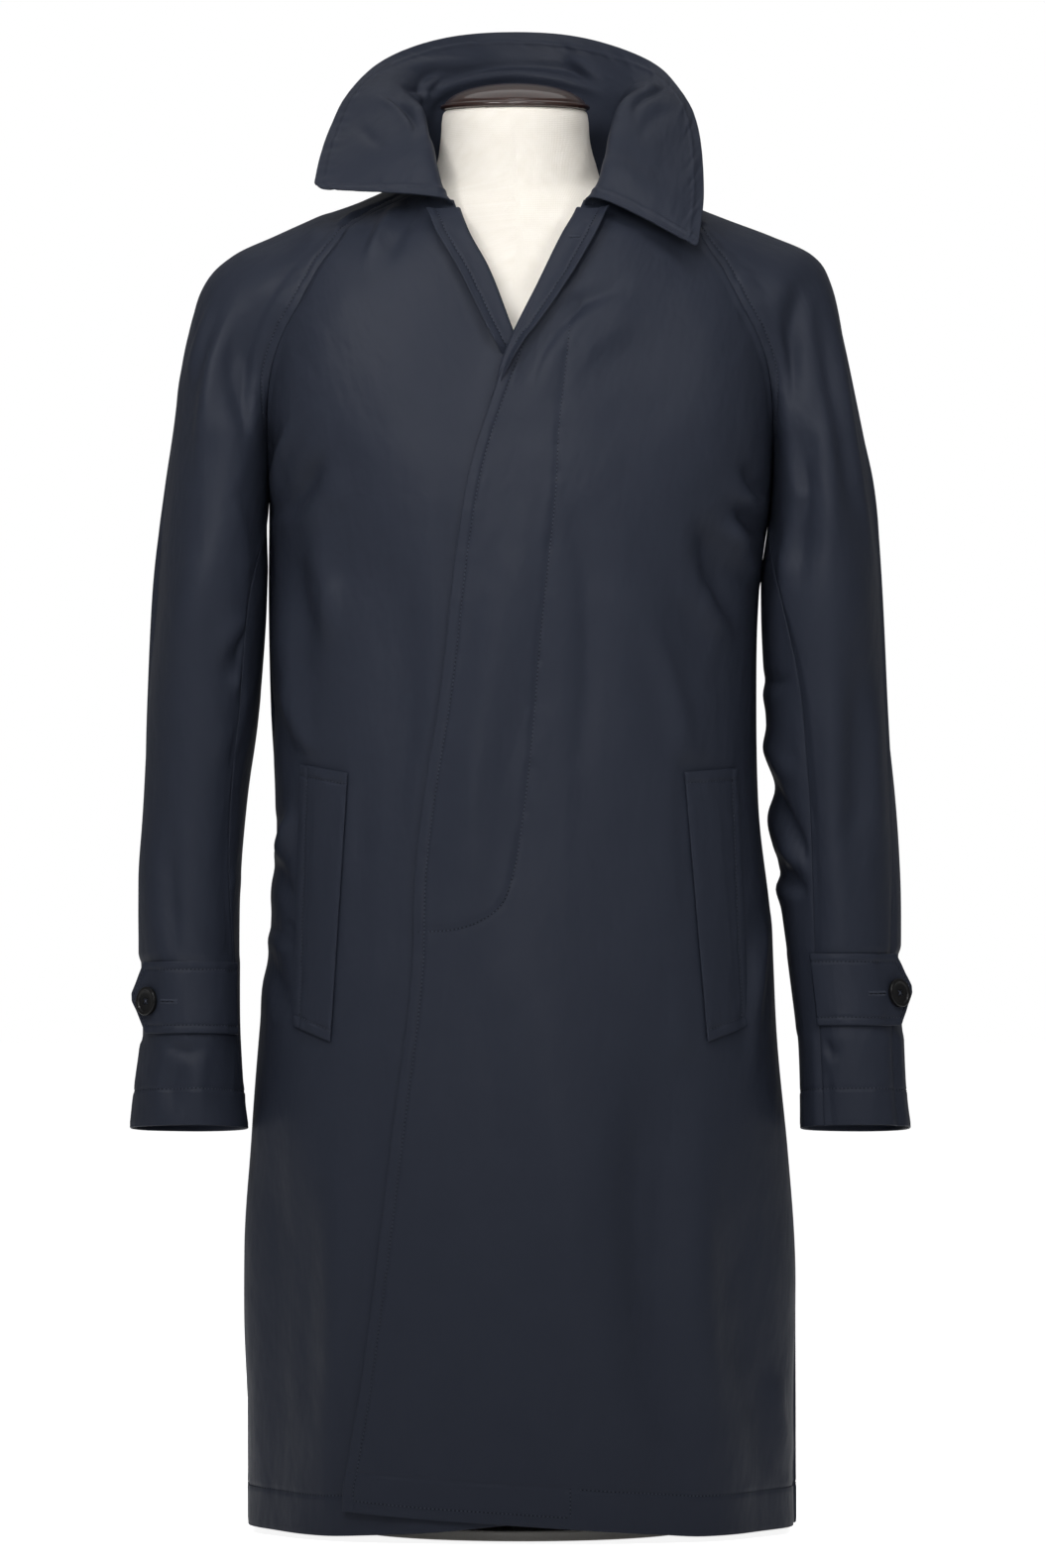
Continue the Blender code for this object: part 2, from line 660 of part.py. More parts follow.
def principled(name, colour, roughness, metallic=0.0):
    material = bpy.data.materials.new(name)
    material.use_nodes = True
    shader = material.node_tree.nodes["Principled BSDF"]
    shader.inputs["Base Color"].default_value = (*colour, 1.0)
    shader.inputs["Roughness"].default_value = roughness
    shader.inputs["Metallic"].default_value = metallic
    return material


def add_object(name, bm, material):
    """Finish a bmesh as a named, smooth-shaded object with a material of its own."""
    bmesh.ops.recalc_face_normals(bm, faces=bm.faces[:])
    mesh = bpy.data.meshes.new(name)
    bm.to_mesh(mesh)
    bm.free()
    mesh.materials.append(material)
    mesh.shade_smooth()
    mesh.set_sharp_from_angle(angle=math.radians(40))
    thing = bpy.data.objects.new(name, mesh)
    bpy.context.scene.collection.objects.link(thing)
    return thing


def grid_faces(bm, verts, flip=False):
    for low, high in zip(verts, verts[1:]):
        for i in range(len(low) - 1):
            corners = [low[i], low[i + 1], high[i + 1], high[i]]
            bm.faces.new(corners[::-1] if flip else corners)


def rim_of(verts):
    """The boundary of a grid of vertices, once round."""
    left = [row[0] for row in verts[::-1]]
    right = [row[-1] for row in verts]
    return verts[0][:-1] + right[:-1] + verts[-1][::-1][:-1] + left[:-1]


def cloth_wall(name, outer, thickness, outward, colour=(0.024, 0.029, 0.044), roughness=0.55):
    """A closed wall of cloth: the outer grid, the grid moved in by the thickness, and the rim."""
    inner = outer - grid_normals(outer) * outward * thickness
    bm = bmesh.new()
    front = [[bm.verts.new(p) for p in row] for row in outer]
    behind = [[bm.verts.new(p) for p in row] for row in inner]
    grid_faces(bm, front)
    grid_faces(bm, behind, flip=True)
    top = rim_of(front)
    bottom = rim_of(behind)
    for i in range(len(top)):
        j = (i + 1) % len(top)
        bm.faces.new([top[j], top[i], bottom[i], bottom[j]])
    return add_object(name, bm, principled(f"{name}_cloth", colour, roughness))


def trimmed(count, start_gap, end_gap):
    """Column places from 0 to 1, drawn in at either end by a share of the width."""
    return np.linspace(start_gap, 1 - end_gap, count)


def make_body():
    rows = body_rows(BODY_ROWS_BELOW, SHOULDER_ROWS)
    inset = SEAM_GAP / 2 / PANEL_WIDTH
    for side, word in ((LEFT, "left"), (RIGHT, "right")):
        grid = front_grid(side, rows, trimmed(FRONT_COLUMNS, 0, inset))
        cloth_wall(f"front_{word}", grid, CLOTH, side)
    across = np.linspace(-1 + inset, 1 - inset, BACK_COLUMNS)
    cloth_wall("back", back_grid(rows, across), CLOTH, -1)


def make_sleeves():
    stations = sleeve_rows(SHOULDER_ROWS, ARM_ROWS)
    inset = SEAM_GAP / 2 / SLEEVE_WIDTH
    for side, word in ((LEFT, "left"), (RIGHT, "right")):
        for face, outward in (("front", side), ("back", -side)):
            grid = sleeve_grid(side, face, stations, trimmed(SLEEVE_COLUMNS, inset, inset))
            cloth_wall(f"sleeve_{face}_{word}", grid, CLOTH, outward)


def make_collar_and_facings():
    cloth_wall("collar", collar_grid(COLLAR_COLUMNS, COLLAR_ROWS), COLLAR_CLOTH, -1)
    cloth_wall("facing_right", facing_grid(RIGHT, FACING_ROWS), TRIM_CLOTH, RIGHT)
    cloth_wall("facing_left", facing_grid(LEFT, FACING_ROWS), TRIM_CLOTH, LEFT)


def make_trims():
    for side, word in ((LEFT, "left"), (RIGHT, "right")):
        cloth_wall(f"pocket_welt_{word}", welt_grid(side, *WELT_GRID), TRIM_CLOTH, side)
        strap = strap_grid(side, *STRAP_GRID)
        cloth_wall(f"cuff_strap_{word}", strap, TRIM_CLOTH, side)
        make_button(f"cuff_button_{word}", side, strap)


def make_button(name, side, strap):
    """A sewn-through button with a raised rim and four holes, flat on its strap."""
    line = strap[len(strap) // 2]
    at = np.interp(STRAP[side]["button_x"], abs(line[:, 0]), np.arange(len(line)))
    low = int(at)
    centre = mix(line[low], line[low + 1], at - low)
    across = Vector(line[low + 1] - line[low]).normalized()
    up = Vector(strap[-1][low] - strap[0][low])
    facing = across.cross(up).normalized() * side
    inside = BUTTON_RADIUS - BUTTON_RIM
    floor = BUTTON_THICK - BUTTON_WELL
    profile = ((0, 0), (BUTTON_RADIUS - BUTTON_ROUND, 0), (BUTTON_RADIUS, BUTTON_ROUND),
               (BUTTON_RADIUS, BUTTON_THICK - BUTTON_ROUND),
               (BUTTON_RADIUS - BUTTON_ROUND, BUTTON_THICK),
               (inside, BUTTON_THICK), (inside - BUTTON_SLOPE, floor), (0, floor))
    disc = turned(name, profile, BUTTON_SIDES, principled(f"{name}_horn", (0.012, 0.012, 0.014), 0.3))
    for k in range(4):
        quarter = math.radians(45 + 90 * k)
        spot = (BUTTON_HOLE_SPREAD * math.cos(quarter), BUTTON_HOLE_SPREAD * math.sin(quarter))
        drill(disc, f"{name}_hole_{k}", spot)
    frame = Matrix((across, facing.cross(across), facing)).transposed()
    disc.matrix_world = Matrix.Translation(Vector(centre) + facing * LYING_GAP) @ frame.to_4x4()


def drill(disc, name, spot):
    """Cut a round hole through a button with a hidden cutter that it carries."""
    bm = bmesh.new()
    bmesh.ops.create_cone(bm, cap_ends=True, segments=10, radius1=BUTTON_HOLE, radius2=BUTTON_HOLE,
                          depth=BUTTON_THICK * 3, matrix=Matrix.Translation((*spot, 0)))
    cutter = add_object(name, bm, principled(f"{name}_guide", (0.5, 0.5, 0.5), 0.5))
    cutter.hide_render = True
    cutter.display_type = "WIRE"
    cutter.parent = disc
    cut = disc.modifiers.new(name, "BOOLEAN")
    cut.operation = "DIFFERENCE"
    cut.object = cutter


def turned(name, profile, sides, material):
    """A closed turned shape about the Z axis from a profile that starts and ends on it."""
    bm = bmesh.new()
    rings = []
    for radius, height in profile:
        count = sides if radius > 0 else 1
        angles = [2 * math.pi * k / sides for k in range(count)]
        rings.append([bm.verts.new((radius * math.cos(a), radius * math.sin(a), height)) for a in angles])
    for low, high in zip(rings, rings[1:]):
        for k in range(sides):
            ring = [low[k % len(low)], low[(k + 1) % len(low)], high[(k + 1) % len(high)], high[k % len(high)]]
            bm.faces.new(list(dict.fromkeys(ring)))
    return add_object(name, bm, material)


def make_form():
    """The form's body: level sections bridged into one closed shape."""
    bm = bmesh.new()
    angles = np.arange(FORM_SIDES) * 2 * math.pi / FORM_SIDES
    rings = []
    for z, x, y, half, front, back, power in zip(*FORM.values()):
        across, ahead = oval(angles, half, np.where(np.cos(angles) > 0, front, back), power)
        rings.append([bm.verts.new((x + a, y + b, z)) for a, b in zip(across, ahead)])
    for low, high in zip(rings, rings[1:]):
        for k in range(FORM_SIDES):
            n = (k + 1) % FORM_SIDES
            bm.faces.new([low[k], low[n], high[n], high[k]])
    bm.faces.new(rings[0][::-1])
    bm.faces.new(rings[-1])
    add_object("form_body", bm, principled("form_canvas", (0.78, 0.74, 0.66), 0.85))


def make_cap_and_stand():
    wood = principled("form_wood", (0.085, 0.030, 0.018), 0.25)
    profile = [(0, 0)] + list(zip(CAP_PROFILE["radius"], CAP_PROFILE["height"]))
    cap = turned("form_neck_cap", profile, CAP_SIDES, wood)
    cap.location = (*CAP_AXIS, CAP_SEAT_Z)
    base_profile = [(0, 0), (BASE_RADIUS - BASE_BEVEL, 0), (BASE_RADIUS, BASE_BEVEL),
                    (BASE_RADIUS, BASE_THICK - BASE_BEVEL), (BASE_RADIUS - BASE_BEVEL, BASE_THICK),
                    (0, BASE_THICK)]
    turned("form_base", base_profile, STAND_SIDES, principled("form_paint", (0.75, 0.74, 0.72), 0.45))
    foot = BASE_THICK + SEAM_GAP
    head = FORM["z"][0] - SEAM_GAP
    pole_profile = [(0, foot), (POLE_RADIUS, foot), (POLE_RADIUS, head), (0, head)]
    turned("form_pole", pole_profile, STAND_SIDES // 2, principled("form_steel", (0.4, 0.4, 0.4), 0.3, 1.0))


def main():
    for thing in list(bpy.data.objects):
        bpy.data.objects.remove(thing)
    make_body()
    make_sleeves()
    make_collar_and_facings()
    make_trims()
    make_form()
    make_cap_and_stand()


main()
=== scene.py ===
"""Looks of a raincoat on its dress form: cloth shells, sewing, materials, light and camera.

Metres, +Z up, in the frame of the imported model. The coat faces -Y. Left and right are the wearer's, so
the wearer's left is +X. The cloth comes from the same sections as the solids, on finer grids that carry
the creases, rolled seams, hems and rows of stitches.
"""

import math

import bpy
import numpy as np
from mathutils import Matrix, Vector
from mathutils.bvhtree import BVHTree


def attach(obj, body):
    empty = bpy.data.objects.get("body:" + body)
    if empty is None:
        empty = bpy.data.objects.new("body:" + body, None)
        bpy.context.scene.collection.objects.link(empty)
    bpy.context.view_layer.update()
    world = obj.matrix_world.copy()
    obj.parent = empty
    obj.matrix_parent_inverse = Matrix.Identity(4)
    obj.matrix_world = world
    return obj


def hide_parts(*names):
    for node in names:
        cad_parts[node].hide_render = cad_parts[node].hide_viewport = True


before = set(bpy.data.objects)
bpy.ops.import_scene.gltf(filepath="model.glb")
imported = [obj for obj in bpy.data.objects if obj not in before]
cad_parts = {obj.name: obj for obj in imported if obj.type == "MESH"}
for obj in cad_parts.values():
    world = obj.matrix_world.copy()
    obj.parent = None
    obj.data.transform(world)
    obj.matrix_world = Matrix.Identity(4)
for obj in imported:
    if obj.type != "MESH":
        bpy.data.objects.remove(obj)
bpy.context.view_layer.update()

RIGHT = -1
LEFT = 1

# Thickness of the trimmings in the solids, clearances, and how far the body's cloth runs on past a seam
TRIM_CLOTH = 0.0018
SEAM_GAP = 0.00004
SEAM_LAP = 0.0006
LYING_GAP = 0.0008
FACING_GAP = 0.0010

# Heights that several pieces share
HEM_Z = 0.0055
ARMPIT_Z = 0.7885
NOTCH_Z = 1.0155
BACK_NECK_RISE = 0.022
HIP_Z = 0.42


def table(names, *rows):
    """A table as a dictionary of named columns."""
    return dict(zip(names.split(), np.array(rows, float).T))


# Level sections of the coat's body: half widths to each side, depths, and the squareness of the oval
BODY = table(
    "z right left front back power",
    (0.0025, 0.2101, 0.2094, 0.168, 0.167, 2.30),
    (0.1765, 0.2109, 0.2086, 0.165, 0.163, 2.30),
    (0.2905, 0.2071, 0.2010, 0.159, 0.155, 2.30),
    (0.3815, 0.2003, 0.1922, 0.152, 0.145, 2.30),
    (0.4725, 0.1911, 0.1878, 0.145, 0.131, 2.30),
    (0.5415, 0.1889, 0.1813, 0.141, 0.122, 2.30),
    (0.6325, 0.1934, 0.1790, 0.140, 0.117, 2.30),
    (0.7245, 0.1950, 0.1813, 0.142, 0.119, 2.30),
    (0.7885, 0.1945, 0.1900, 0.141, 0.123, 2.70),
    (0.8565, 0.1980, 0.1930, 0.134, 0.126, 3.30),
    (0.9165, 0.2000, 0.1950, 0.122, 0.123, 3.00),
    (0.9625, 0.1990, 0.1940, 0.109, 0.115, 2.40),
    (0.9905, 0.1910, 0.1880, 0.100, 0.107, 1.90),
    (1.0055, 0.1577, 0.1530, 0.094, 0.099, 1.62),
    (1.0205, 0.1174, 0.1150, 0.088, 0.091, 1.60),
    (1.0335, 0.0900, 0.0880, 0.082, 0.083, 1.60),
    (1.0465, 0.0800, 0.0780, 0.076, 0.074, 1.60),
)

# Soft upright folds of the skirt: angle round the body from the front, angular width, depth, top
FLUTES = table(
    "angle width depth top",
    (58, 10, -0.0040, 0.36),
    (76, 8, 0.0030, 0.38),
    (-64, 10, -0.0030, 0.36),
    (-82, 8, 0.0020, 0.34),
    (122, 12, -0.0060, 0.46),
    (148, 12, 0.0050, 0.42),
    (-118, 12, -0.0050, 0.50),
    (-146, 12, 0.0055, 0.44),
    (-172, 11, -0.0045, 0.38),
)

# Free edges of the two fronts: below the V they overlap, and above it they are the roll lines
LEFT_EDGE = table(
    "z x",
    (0.0235, -0.1351),
    (0.1335, -0.1202),
    (0.2965, -0.1002),
    (0.4315, -0.0840),
    (0.5075, -0.0811),
    (0.5595, -0.0751),
    (0.6415, -0.0624),
    (0.7585, -0.0489),
    (0.8125, -0.0392),
    (0.8645, -0.0228),
    (0.9085, -0.0064),
    (0.9485, 0.0131),
    (0.9875, 0.0319),
    (1.0035, 0.0410),
    (1.0155, 0.0463),
)
RIGHT_EDGE = table(
    "z x",
    (0.0165, 0.0240),
    (0.3865, 0.0300),
    (0.6865, 0.0320),
    (0.7865, 0.0280),
    (0.8465, 0.0180),
    (0.8815, 0.0040),
    (0.9085, -0.0079),
    (0.9625, -0.0289),
    (0.9875, -0.0425),
    (1.0005, -0.0478),
    (1.0155, -0.0528),
)

# Hem heights across the two fronts
LEFT_HEM = table(
    "x z",
    (-0.1351, 0.0237),
    (-0.0808, 0.0192),
    (-0.0108, 0.0148),
    (0.1016, 0.0069),
    (0.1360, 0.0045),
    (0.2094, 0.0055),
)
RIGHT_HEM = table(
    "x z",
    (-0.2101, 0.0055),
    (-0.1553, 0.0041),
    (-0.1160, 0.0059),
    (-0.0637, 0.0092),
    (-0.0108, 0.0148),
    (0.0300, 0.0175),
)
HEM_BLEND = 0.30

# How far the left front stands off the right one, and how that fades to its own side
OVERLAP_LIFT = table(
    "z lift",
    (0.0165, 0.0032),
    (0.8265, 0.0034),
    (0.8865, 0.0062),
    (0.9365, 0.0060),
    (0.9865, 0.0),
    (1.0165, 0.0),
)
LIFT_FULL_X = 0.045
LIFT_GONE_X = 0.125

# Shoulder part of the sleeves, neck to armpit: the ridge, the raglan seam's height and its share of
# the body's half width, the lengths of the curve's two handles, and how far the second one turns
YOKE = table(
    "right_x right_z left_x left_z seam_z share reach swell turn",
    (0.0900, 1.0335, 0.0880, 1.0335, 1.0225, 0.740, 0.020, 0.012, 0.00),
    (0.1174, 1.0205, 0.1150, 1.0205, 1.0085, 0.747, 0.022, 0.013, 0.10),
    (0.1577, 1.0055, 0.1530, 1.0050, 0.9885, 0.715, 0.030, 0.018, 0.15),
    (0.1911, 0.9905, 0.1911, 0.9903, 0.9625, 0.785, 0.040, 0.027, 0.20),
    (0.2223, 0.9751, 0.2220, 0.9751, 0.9365, 0.850, 0.056, 0.036, 0.25),
    (0.2436, 0.9523, 0.2346, 0.9523, 0.9115, 0.918, 0.074, 0.040, 0.32),
    (0.2588, 0.9065, 0.2451, 0.9065, 0.8815, 0.967, 0.090, 0.052, 0.48),
    (0.2687, 0.8383, 0.2610, 0.8383, 0.8345, 0.993, 0.102, 0.077, 0.80),
    (0.2755, 0.7925, 0.2702, 0.7925, 0.7885, 1.000, 0.108, 0.108, 1.00),
)

# Arm part of the sleeves, armpit to cuff: outer and inner lines, middle, depth to front and back,
# forward tilt of the ring, and how far the seams turn to the front from the inner and outer lines
ARM = table(
    "z right_outer right_inner left_outer left_inner y depth tilt right_under left_under left_over",
    (0.7245, 0.2839, 0.1958, 0.2755, 0.1823, 0.000, 0.081, 0.00, 38, 38, 0),
    (0.6335, 0.2884, 0.2002, 0.2800, 0.1840, 0.003, 0.073, 0.01, 47, 64, 8),
    (0.5645, 0.2900, 0.2095, 0.2842, 0.1886, 0.003, 0.066, 0.02, 45, 66, 16),
    (0.4965, 0.2922, 0.2148, 0.2866, 0.1953, -0.002, 0.061, 0.04, 38, 62, 24),
    (0.4275, 0.2922, 0.2166, 0.2874, 0.2036, -0.011, 0.058, 0.06, 22, 55, 32),
    (0.3815, 0.2907, 0.2160, 0.2902, 0.2090, -0.019, 0.0565, 0.07, 16, 52, 37),
    (0.3365, 0.2960, 0.2132, 0.2930, 0.2112, -0.026, 0.056, 0.08, 12, 51, 40),
    (0.3085, 0.2994, 0.2096, 0.2968, 0.2118, -0.030, 0.0555, 0.08, 10, 51, 42),
)
ARMPIT_STATION = len(YOKE["share"]) - 1
CUFF_STATION = ARMPIT_STATION + len(ARM["z"])
HALF_OVAL_HANDLE = 4 / 3

# Collar: a profile for each share of the neck seam, by the corner that it rolls round and its edge
COLLAR = table(
    "along corner_x corner_y corner_z edge_x edge_y edge_z",
    (0.00, -0.0560, -0.0900, 1.0180, -0.1592, -0.0780, 1.0235),
    (0.10, -0.0470, -0.0720, 1.0665, -0.1545, -0.0500, 1.0485),
    (0.20, -0.0560, -0.0400, 1.1015, -0.1465, -0.0180, 1.0745),
    (0.30, -0.0760, 0.0020, 1.1145, -0.1319, 0.0140, 1.1045),
    (0.40, -0.0720, 0.0500, 1.1065, -0.0980, 0.0620, 1.1365),
    (0.45, -0.0400, 0.0740, 1.1035, -0.0570, 0.0900, 1.1515),
    (0.50, -0.0030, 0.0820, 1.1015, -0.0080, 0.1040, 1.1555),
    (0.55, 0.0350, 0.0740, 1.1035, 0.0430, 0.0900, 1.1520),
    (0.60, 0.0660, 0.0500, 1.1065, 0.0900, 0.0600, 1.1345),
    (0.70, 0.0720, 0.0020, 1.1165, 0.1193, 0.0220, 1.1060),
    (0.80, 0.0520, -0.0420, 1.1015, 0.1334, -0.0150, 1.0739),
    (0.90, 0.0440, -0.0760, 1.0645, 0.1372, -0.0660, 1.0235),
    (1.00, 0.0490, -0.0920, 1.0235, 0.1324, -0.1070, 0.9775),
)
COLLAR_SHARPNESS = 0.85
COLLAR_LAP_DROP = 0.0050
COLLAR_LAP_OUT = 0.0034
COLLAR_LAP_RUN = 0.055
COLLAR_TUCK = 0.0028

# Turned-back facings: width on each front at each height
FACING = table(
    "z right left",
    (0.8640, 0.0120, 0.0010),
    (0.8800, 0.0128, 0.0030),
    (0.8912, 0.0135, 0.0052),
    (0.9062, 0.0148, 0.0085),
    (0.9197, 0.0165, 0.0135),
    (0.9400, 0.0188, 0.0180),
    (0.9625, 0.0210, 0.0218),
    (0.9850, 0.0218, 0.0228),
    (1.0095, 0.0228, 0.0205),
)
FACING_FOOT = {RIGHT: 0.8935, LEFT: 0.8640}
FACING_TOP = 1.0048
FACING_SPRING = {RIGHT: 0.0050, LEFT: 0.0070}
FACING_MERGE = {RIGHT: 0.012, LEFT: 0.030}
FACING_SINK = 0.0008

# Pocket welts: the four corners as x outward from the middle and z
POCKET = {
    RIGHT: {"top": (0.1316, 0.5798, 0.1672, 0.5865), "foot": (0.1444, 0.3765, 0.1725, 0.3881)},
    LEFT: {"top": (0.1211, 0.5805, 0.1612, 0.5835), "foot": (0.1384, 0.3765, 0.1695, 0.3881)},
}

# Cuff straps: middle height, turns in degrees where they start on and leave the sleeve, and x of the point
# and of the button; then half width, length of the point and half width of its tip
STRAP = {
    RIGHT: {"z": 0.4060, "start": 158, "leave": 50, "tip_x": 0.2990, "button_x": 0.2850},
    LEFT: {"z": 0.4120, "start": 128, "leave": 50, "tip_x": 0.2972, "button_x": 0.2852},
}
STRAP_HALF_WIDTH = 0.0275
STRAP_POINT = 0.016
STRAP_TIP_HALF = 0.0025

# Cuff buttons
BUTTON_RADIUS = 0.0110
BUTTON_THICK = 0.0036
BUTTON_RIM = 0.0024
BUTTON_WELL = 0.0011
BUTTON_ROUND = 0.0008
BUTTON_SLOPE = 0.0010
BUTTON_HOLE = 0.0011
BUTTON_HOLE_SPREAD = 0.0024
BUTTON_HOLE_SIDES = 20
BUTTON_SIDES = 56
BUTTON_THREAD = 0.0005
BUTTON_STAND = 0.0004

# Dress form: level sections of its body with the place of its axis
FORM = table(
    "z x y half front back power",
    (0.4065, 0.000, 0.000, 0.140, 0.098, 0.092, 2.2),
    (0.4185, 0.000, 0.000, 0.150, 0.107, 0.100, 2.2),
    (0.4865, 0.000, 0.000, 0.158, 0.116, 0.104, 2.2),
    (0.5665, 0.000, 0.000, 0.148, 0.110, 0.094, 2.2),
    (0.6665, 0.000, 0.000, 0.152, 0.114, 0.094, 2.2),
    (0.7865, 0.000, 0.000, 0.162, 0.119, 0.101, 2.2),
    (0.8665, 0.000, 0.000, 0.170, 0.112, 0.106, 2.1),
    (0.9265, 0.000, 0.000, 0.176, 0.098, 0.103, 1.9),
    (0.9665, 0.000, 0.000, 0.177, 0.084, 0.094, 1.65),
    (0.9865, 0.000, 0.000, 0.172, 0.077, 0.086, 1.5),
    (1.0005, -0.0025, 0.000, 0.1608, 0.073, 0.079, 1.45),
    (1.0145, -0.002, 0.000, 0.106, 0.066, 0.068, 1.6),
    (1.0265, -0.004, -0.001, 0.071, 0.061, 0.060, 1.8),
    (1.0465, -0.005, -0.002, 0.061, 0.058, 0.057, 2.0),
    (1.0665, -0.006, -0.003, 0.057, 0.057, 0.0565, 2.0),
    (1.0845, -0.006, -0.004, 0.0553, 0.0555, 0.0555, 2.0),
    (1.0870, -0.006, -0.004, 0.0535, 0.0540, 0.0540, 2.0),
)
FORM_SIDES = 96

# Neck cap, turned about the neck's axis: radius and height of its profile above its seat
CAP_SEAT_Z = 1.0873
CAP_AXIS = (-0.006, -0.004)
CAP_PROFILE = table(
    "radius height",
    (0.0550, 0.0000),
    (0.0568, 0.0010),
    (0.0574, 0.0025),
    (0.0566, 0.0040),
    (0.0548, 0.0046),
    (0.0530, 0.0072),
    (0.0470, 0.0120),
    (0.0370, 0.0162),
    (0.0240, 0.0192),
    (0.0110, 0.0206),
    (0.0000, 0.0210),
)
CAP_SIDES = 96

# Stand
BASE_RADIUS = 0.130
BASE_THICK = 0.008
BASE_BEVEL = 0.002
POLE_RADIUS = 0.016
POLE_CHAMFER = 0.001
STAND_SIDES = 128

# Edges of turned pieces stay sharp above this angle
SHARP_ANGLE = math.radians(35)

# Cloth walls in the looks, and how far from a rim they close up
PANEL_WALL = 0.0012
COLLAR_WALL = 0.0016
TRIM_WALL = 0.0013
RIM_ROUND = 0.0007
RIM_LEAST = 0.3

# Sewing
STITCH_PITCH = 0.0031
STITCH_LENGTH = 0.0019
STITCH_RADIUS = 0.00034
# Needle holes are drawn as small dark marks of painted shade
NEEDLE_LENGTH = 0.0010
NEEDLE_RADIUS = 0.00042
EDGE_INSET = 0.0088
HEM_INSET = 0.0305
HEM_STEP_X = 0.0355
CUFF_INSET = 0.0280
RAGLAN_INSET = 0.0068
TRIM_INSET = 0.0085
STRAP_INSET = 0.0062
GROOVE_DEPTH = 0.00070
GROOVE_HALF = 0.0012
SWELL = 0.00020
PUCKER = 0.00055
PUCKER_REACH = 0.0055
SEAM_DEPTH = 0.0003
SEAM_HALF = 0.0016
FLY_RISE = 0.0009
RAGLAN_STITCH_END = 0.835

# Heights between which sleeve and body lie face to face, and how that fades
FACE_TO_FACE = (0.775, 0.875)
FACE_FADE = 0.015

# Line of stitches that holds the fly: from the V down, then round to the edge
FLY = table(
    "x z",
    (0.0356, 0.9210),
    (0.0326, 0.8905),
    (0.0273, 0.8420),
    (0.0243, 0.7880),
    (0.0213, 0.7585),
    (0.0131, 0.6815),
    (0.0071, 0.6085),
    (0.0004, 0.5495),
    (-0.0078, 0.5020),
    (-0.0160, 0.4810),
    (-0.0309, 0.4690),
    (-0.0518, 0.4620),
    (-0.0790, 0.4600),
)

# Creases of the fronts, by place in x and z: ends, half width, height or depth, and sideways bow
CREASE = "x z to_x to_z width depth bow"
FRONT_CREASES = {
    LEFT: table(
        CREASE,
        (0.0004, 0.8687, 0.0694, 0.9460, 0.007, -0.0045, -0.0155),
        (0.0330, 0.8850, 0.0930, 0.9250, 0.012, 0.0024, -0.006),
        (-0.0130, 0.7500, -0.0430, 0.4900, 0.017, 0.0036, 0.004),
        (0.0378, 0.7892, 0.0572, 0.5947, 0.024, -0.0046, 0.008),
        (0.1355, 0.7703, 0.1632, 0.6848, 0.009, -0.0054, 0.004),
        (0.1385, 0.7223, 0.1580, 0.6810, 0.009, 0.0034, 0.002),
        (0.1580, 0.7703, 0.1775, 0.7261, 0.007, 0.0048, 0.002),
        (0.1632, 0.7778, 0.1842, 0.7598, 0.006, -0.0044, 0.001),
        (0.1655, 0.7936, 0.1835, 0.7763, 0.005, 0.0031, 0.001),
        (0.1685, 0.8139, 0.1842, 0.7898, 0.006, -0.0037, 0.002),
        (0.0901, 0.6994, 0.1230, 0.5857, 0.009, 0.0029, -0.006),
        (0.1829, 0.4675, 0.1709, 0.3927, 0.006, 0.0037, 0.002),
        (0.1760, 0.4500, 0.1730, 0.3500, 0.007, 0.0026, 0.003),
        (0.1926, 0.1234, 0.2038, 0.0561, 0.008, 0.0041, 0.003),
        (0.1627, 0.2431, 0.1754, 0.1010, 0.016, -0.0041, 0.005),
        (0.0930, 0.3400, 0.1120, 0.0500, 0.022, -0.0050, 0.008),
        (0.1330, 0.3400, 0.1480, 0.0500, 0.018, 0.0040, 0.006),
        (0.0200, 0.4300, 0.0080, 0.1200, 0.030, 0.0034, -0.012),
    ),
    RIGHT: table(
        CREASE,
        (-0.1750, 0.5480, -0.1850, 0.5150, 0.0045, 0.0026, 0.001),
        (-0.1860, 0.5150, -0.1690, 0.4760, 0.0060, -0.0026, 0.002),
        (-0.1890, 0.4640, -0.1710, 0.4480, 0.0045, -0.0026, 0.001),
        (-0.1900, 0.4420, -0.1720, 0.3880, 0.0060, -0.0026, 0.003),
        (-0.1782, 0.8424, -0.1902, 0.7839, 0.004, 0.0037, 0.004),
        (-0.1872, 0.7733, -0.1542, 0.8184, 0.009, -0.0054, 0.003),
        (-0.1542, 0.7673, -0.1437, 0.6848, 0.014, 0.0051, 0.004),
        (-0.1422, 0.7298, -0.1482, 0.6773, 0.006, 0.0022, 0.002),
        (-0.0940, 1.0160, -0.1180, 0.9680, 0.004, 0.0022, 0.002),
        (-0.0800, 1.0120, -0.1040, 0.9660, 0.006, -0.0018, 0.002),
        (-0.1814, 0.7218, -0.1702, 0.6059, 0.009, 0.0031, 0.003),
        (-0.1724, 0.7443, -0.1612, 0.6396, 0.010, -0.0027, 0.003),
        (-0.1829, 0.6470, -0.1567, 0.5887, 0.007, 0.0031, 0.002),
        (-0.1842, 0.5121, -0.1737, 0.5570, 0.005, 0.0034, 0.002),
        (-0.1782, 0.4672, -0.1707, 0.4559, 0.004, -0.0027, 0.001),
        (-0.1313, 0.5722, -0.1365, 0.4077, 0.015, -0.0032, 0.004),
        (-0.1000, 0.7300, -0.0900, 0.5600, 0.022, -0.0034, -0.008),
        (-0.1702, 0.2805, -0.1627, 0.1010, 0.018, -0.0039, 0.004),
        (-0.1420, 0.3000, -0.1480, 0.0400, 0.016, 0.0040, -0.005),
        (-0.1880, 0.3300, -0.1860, 0.0600, 0.012, -0.0040, 0.004),
    ),
}
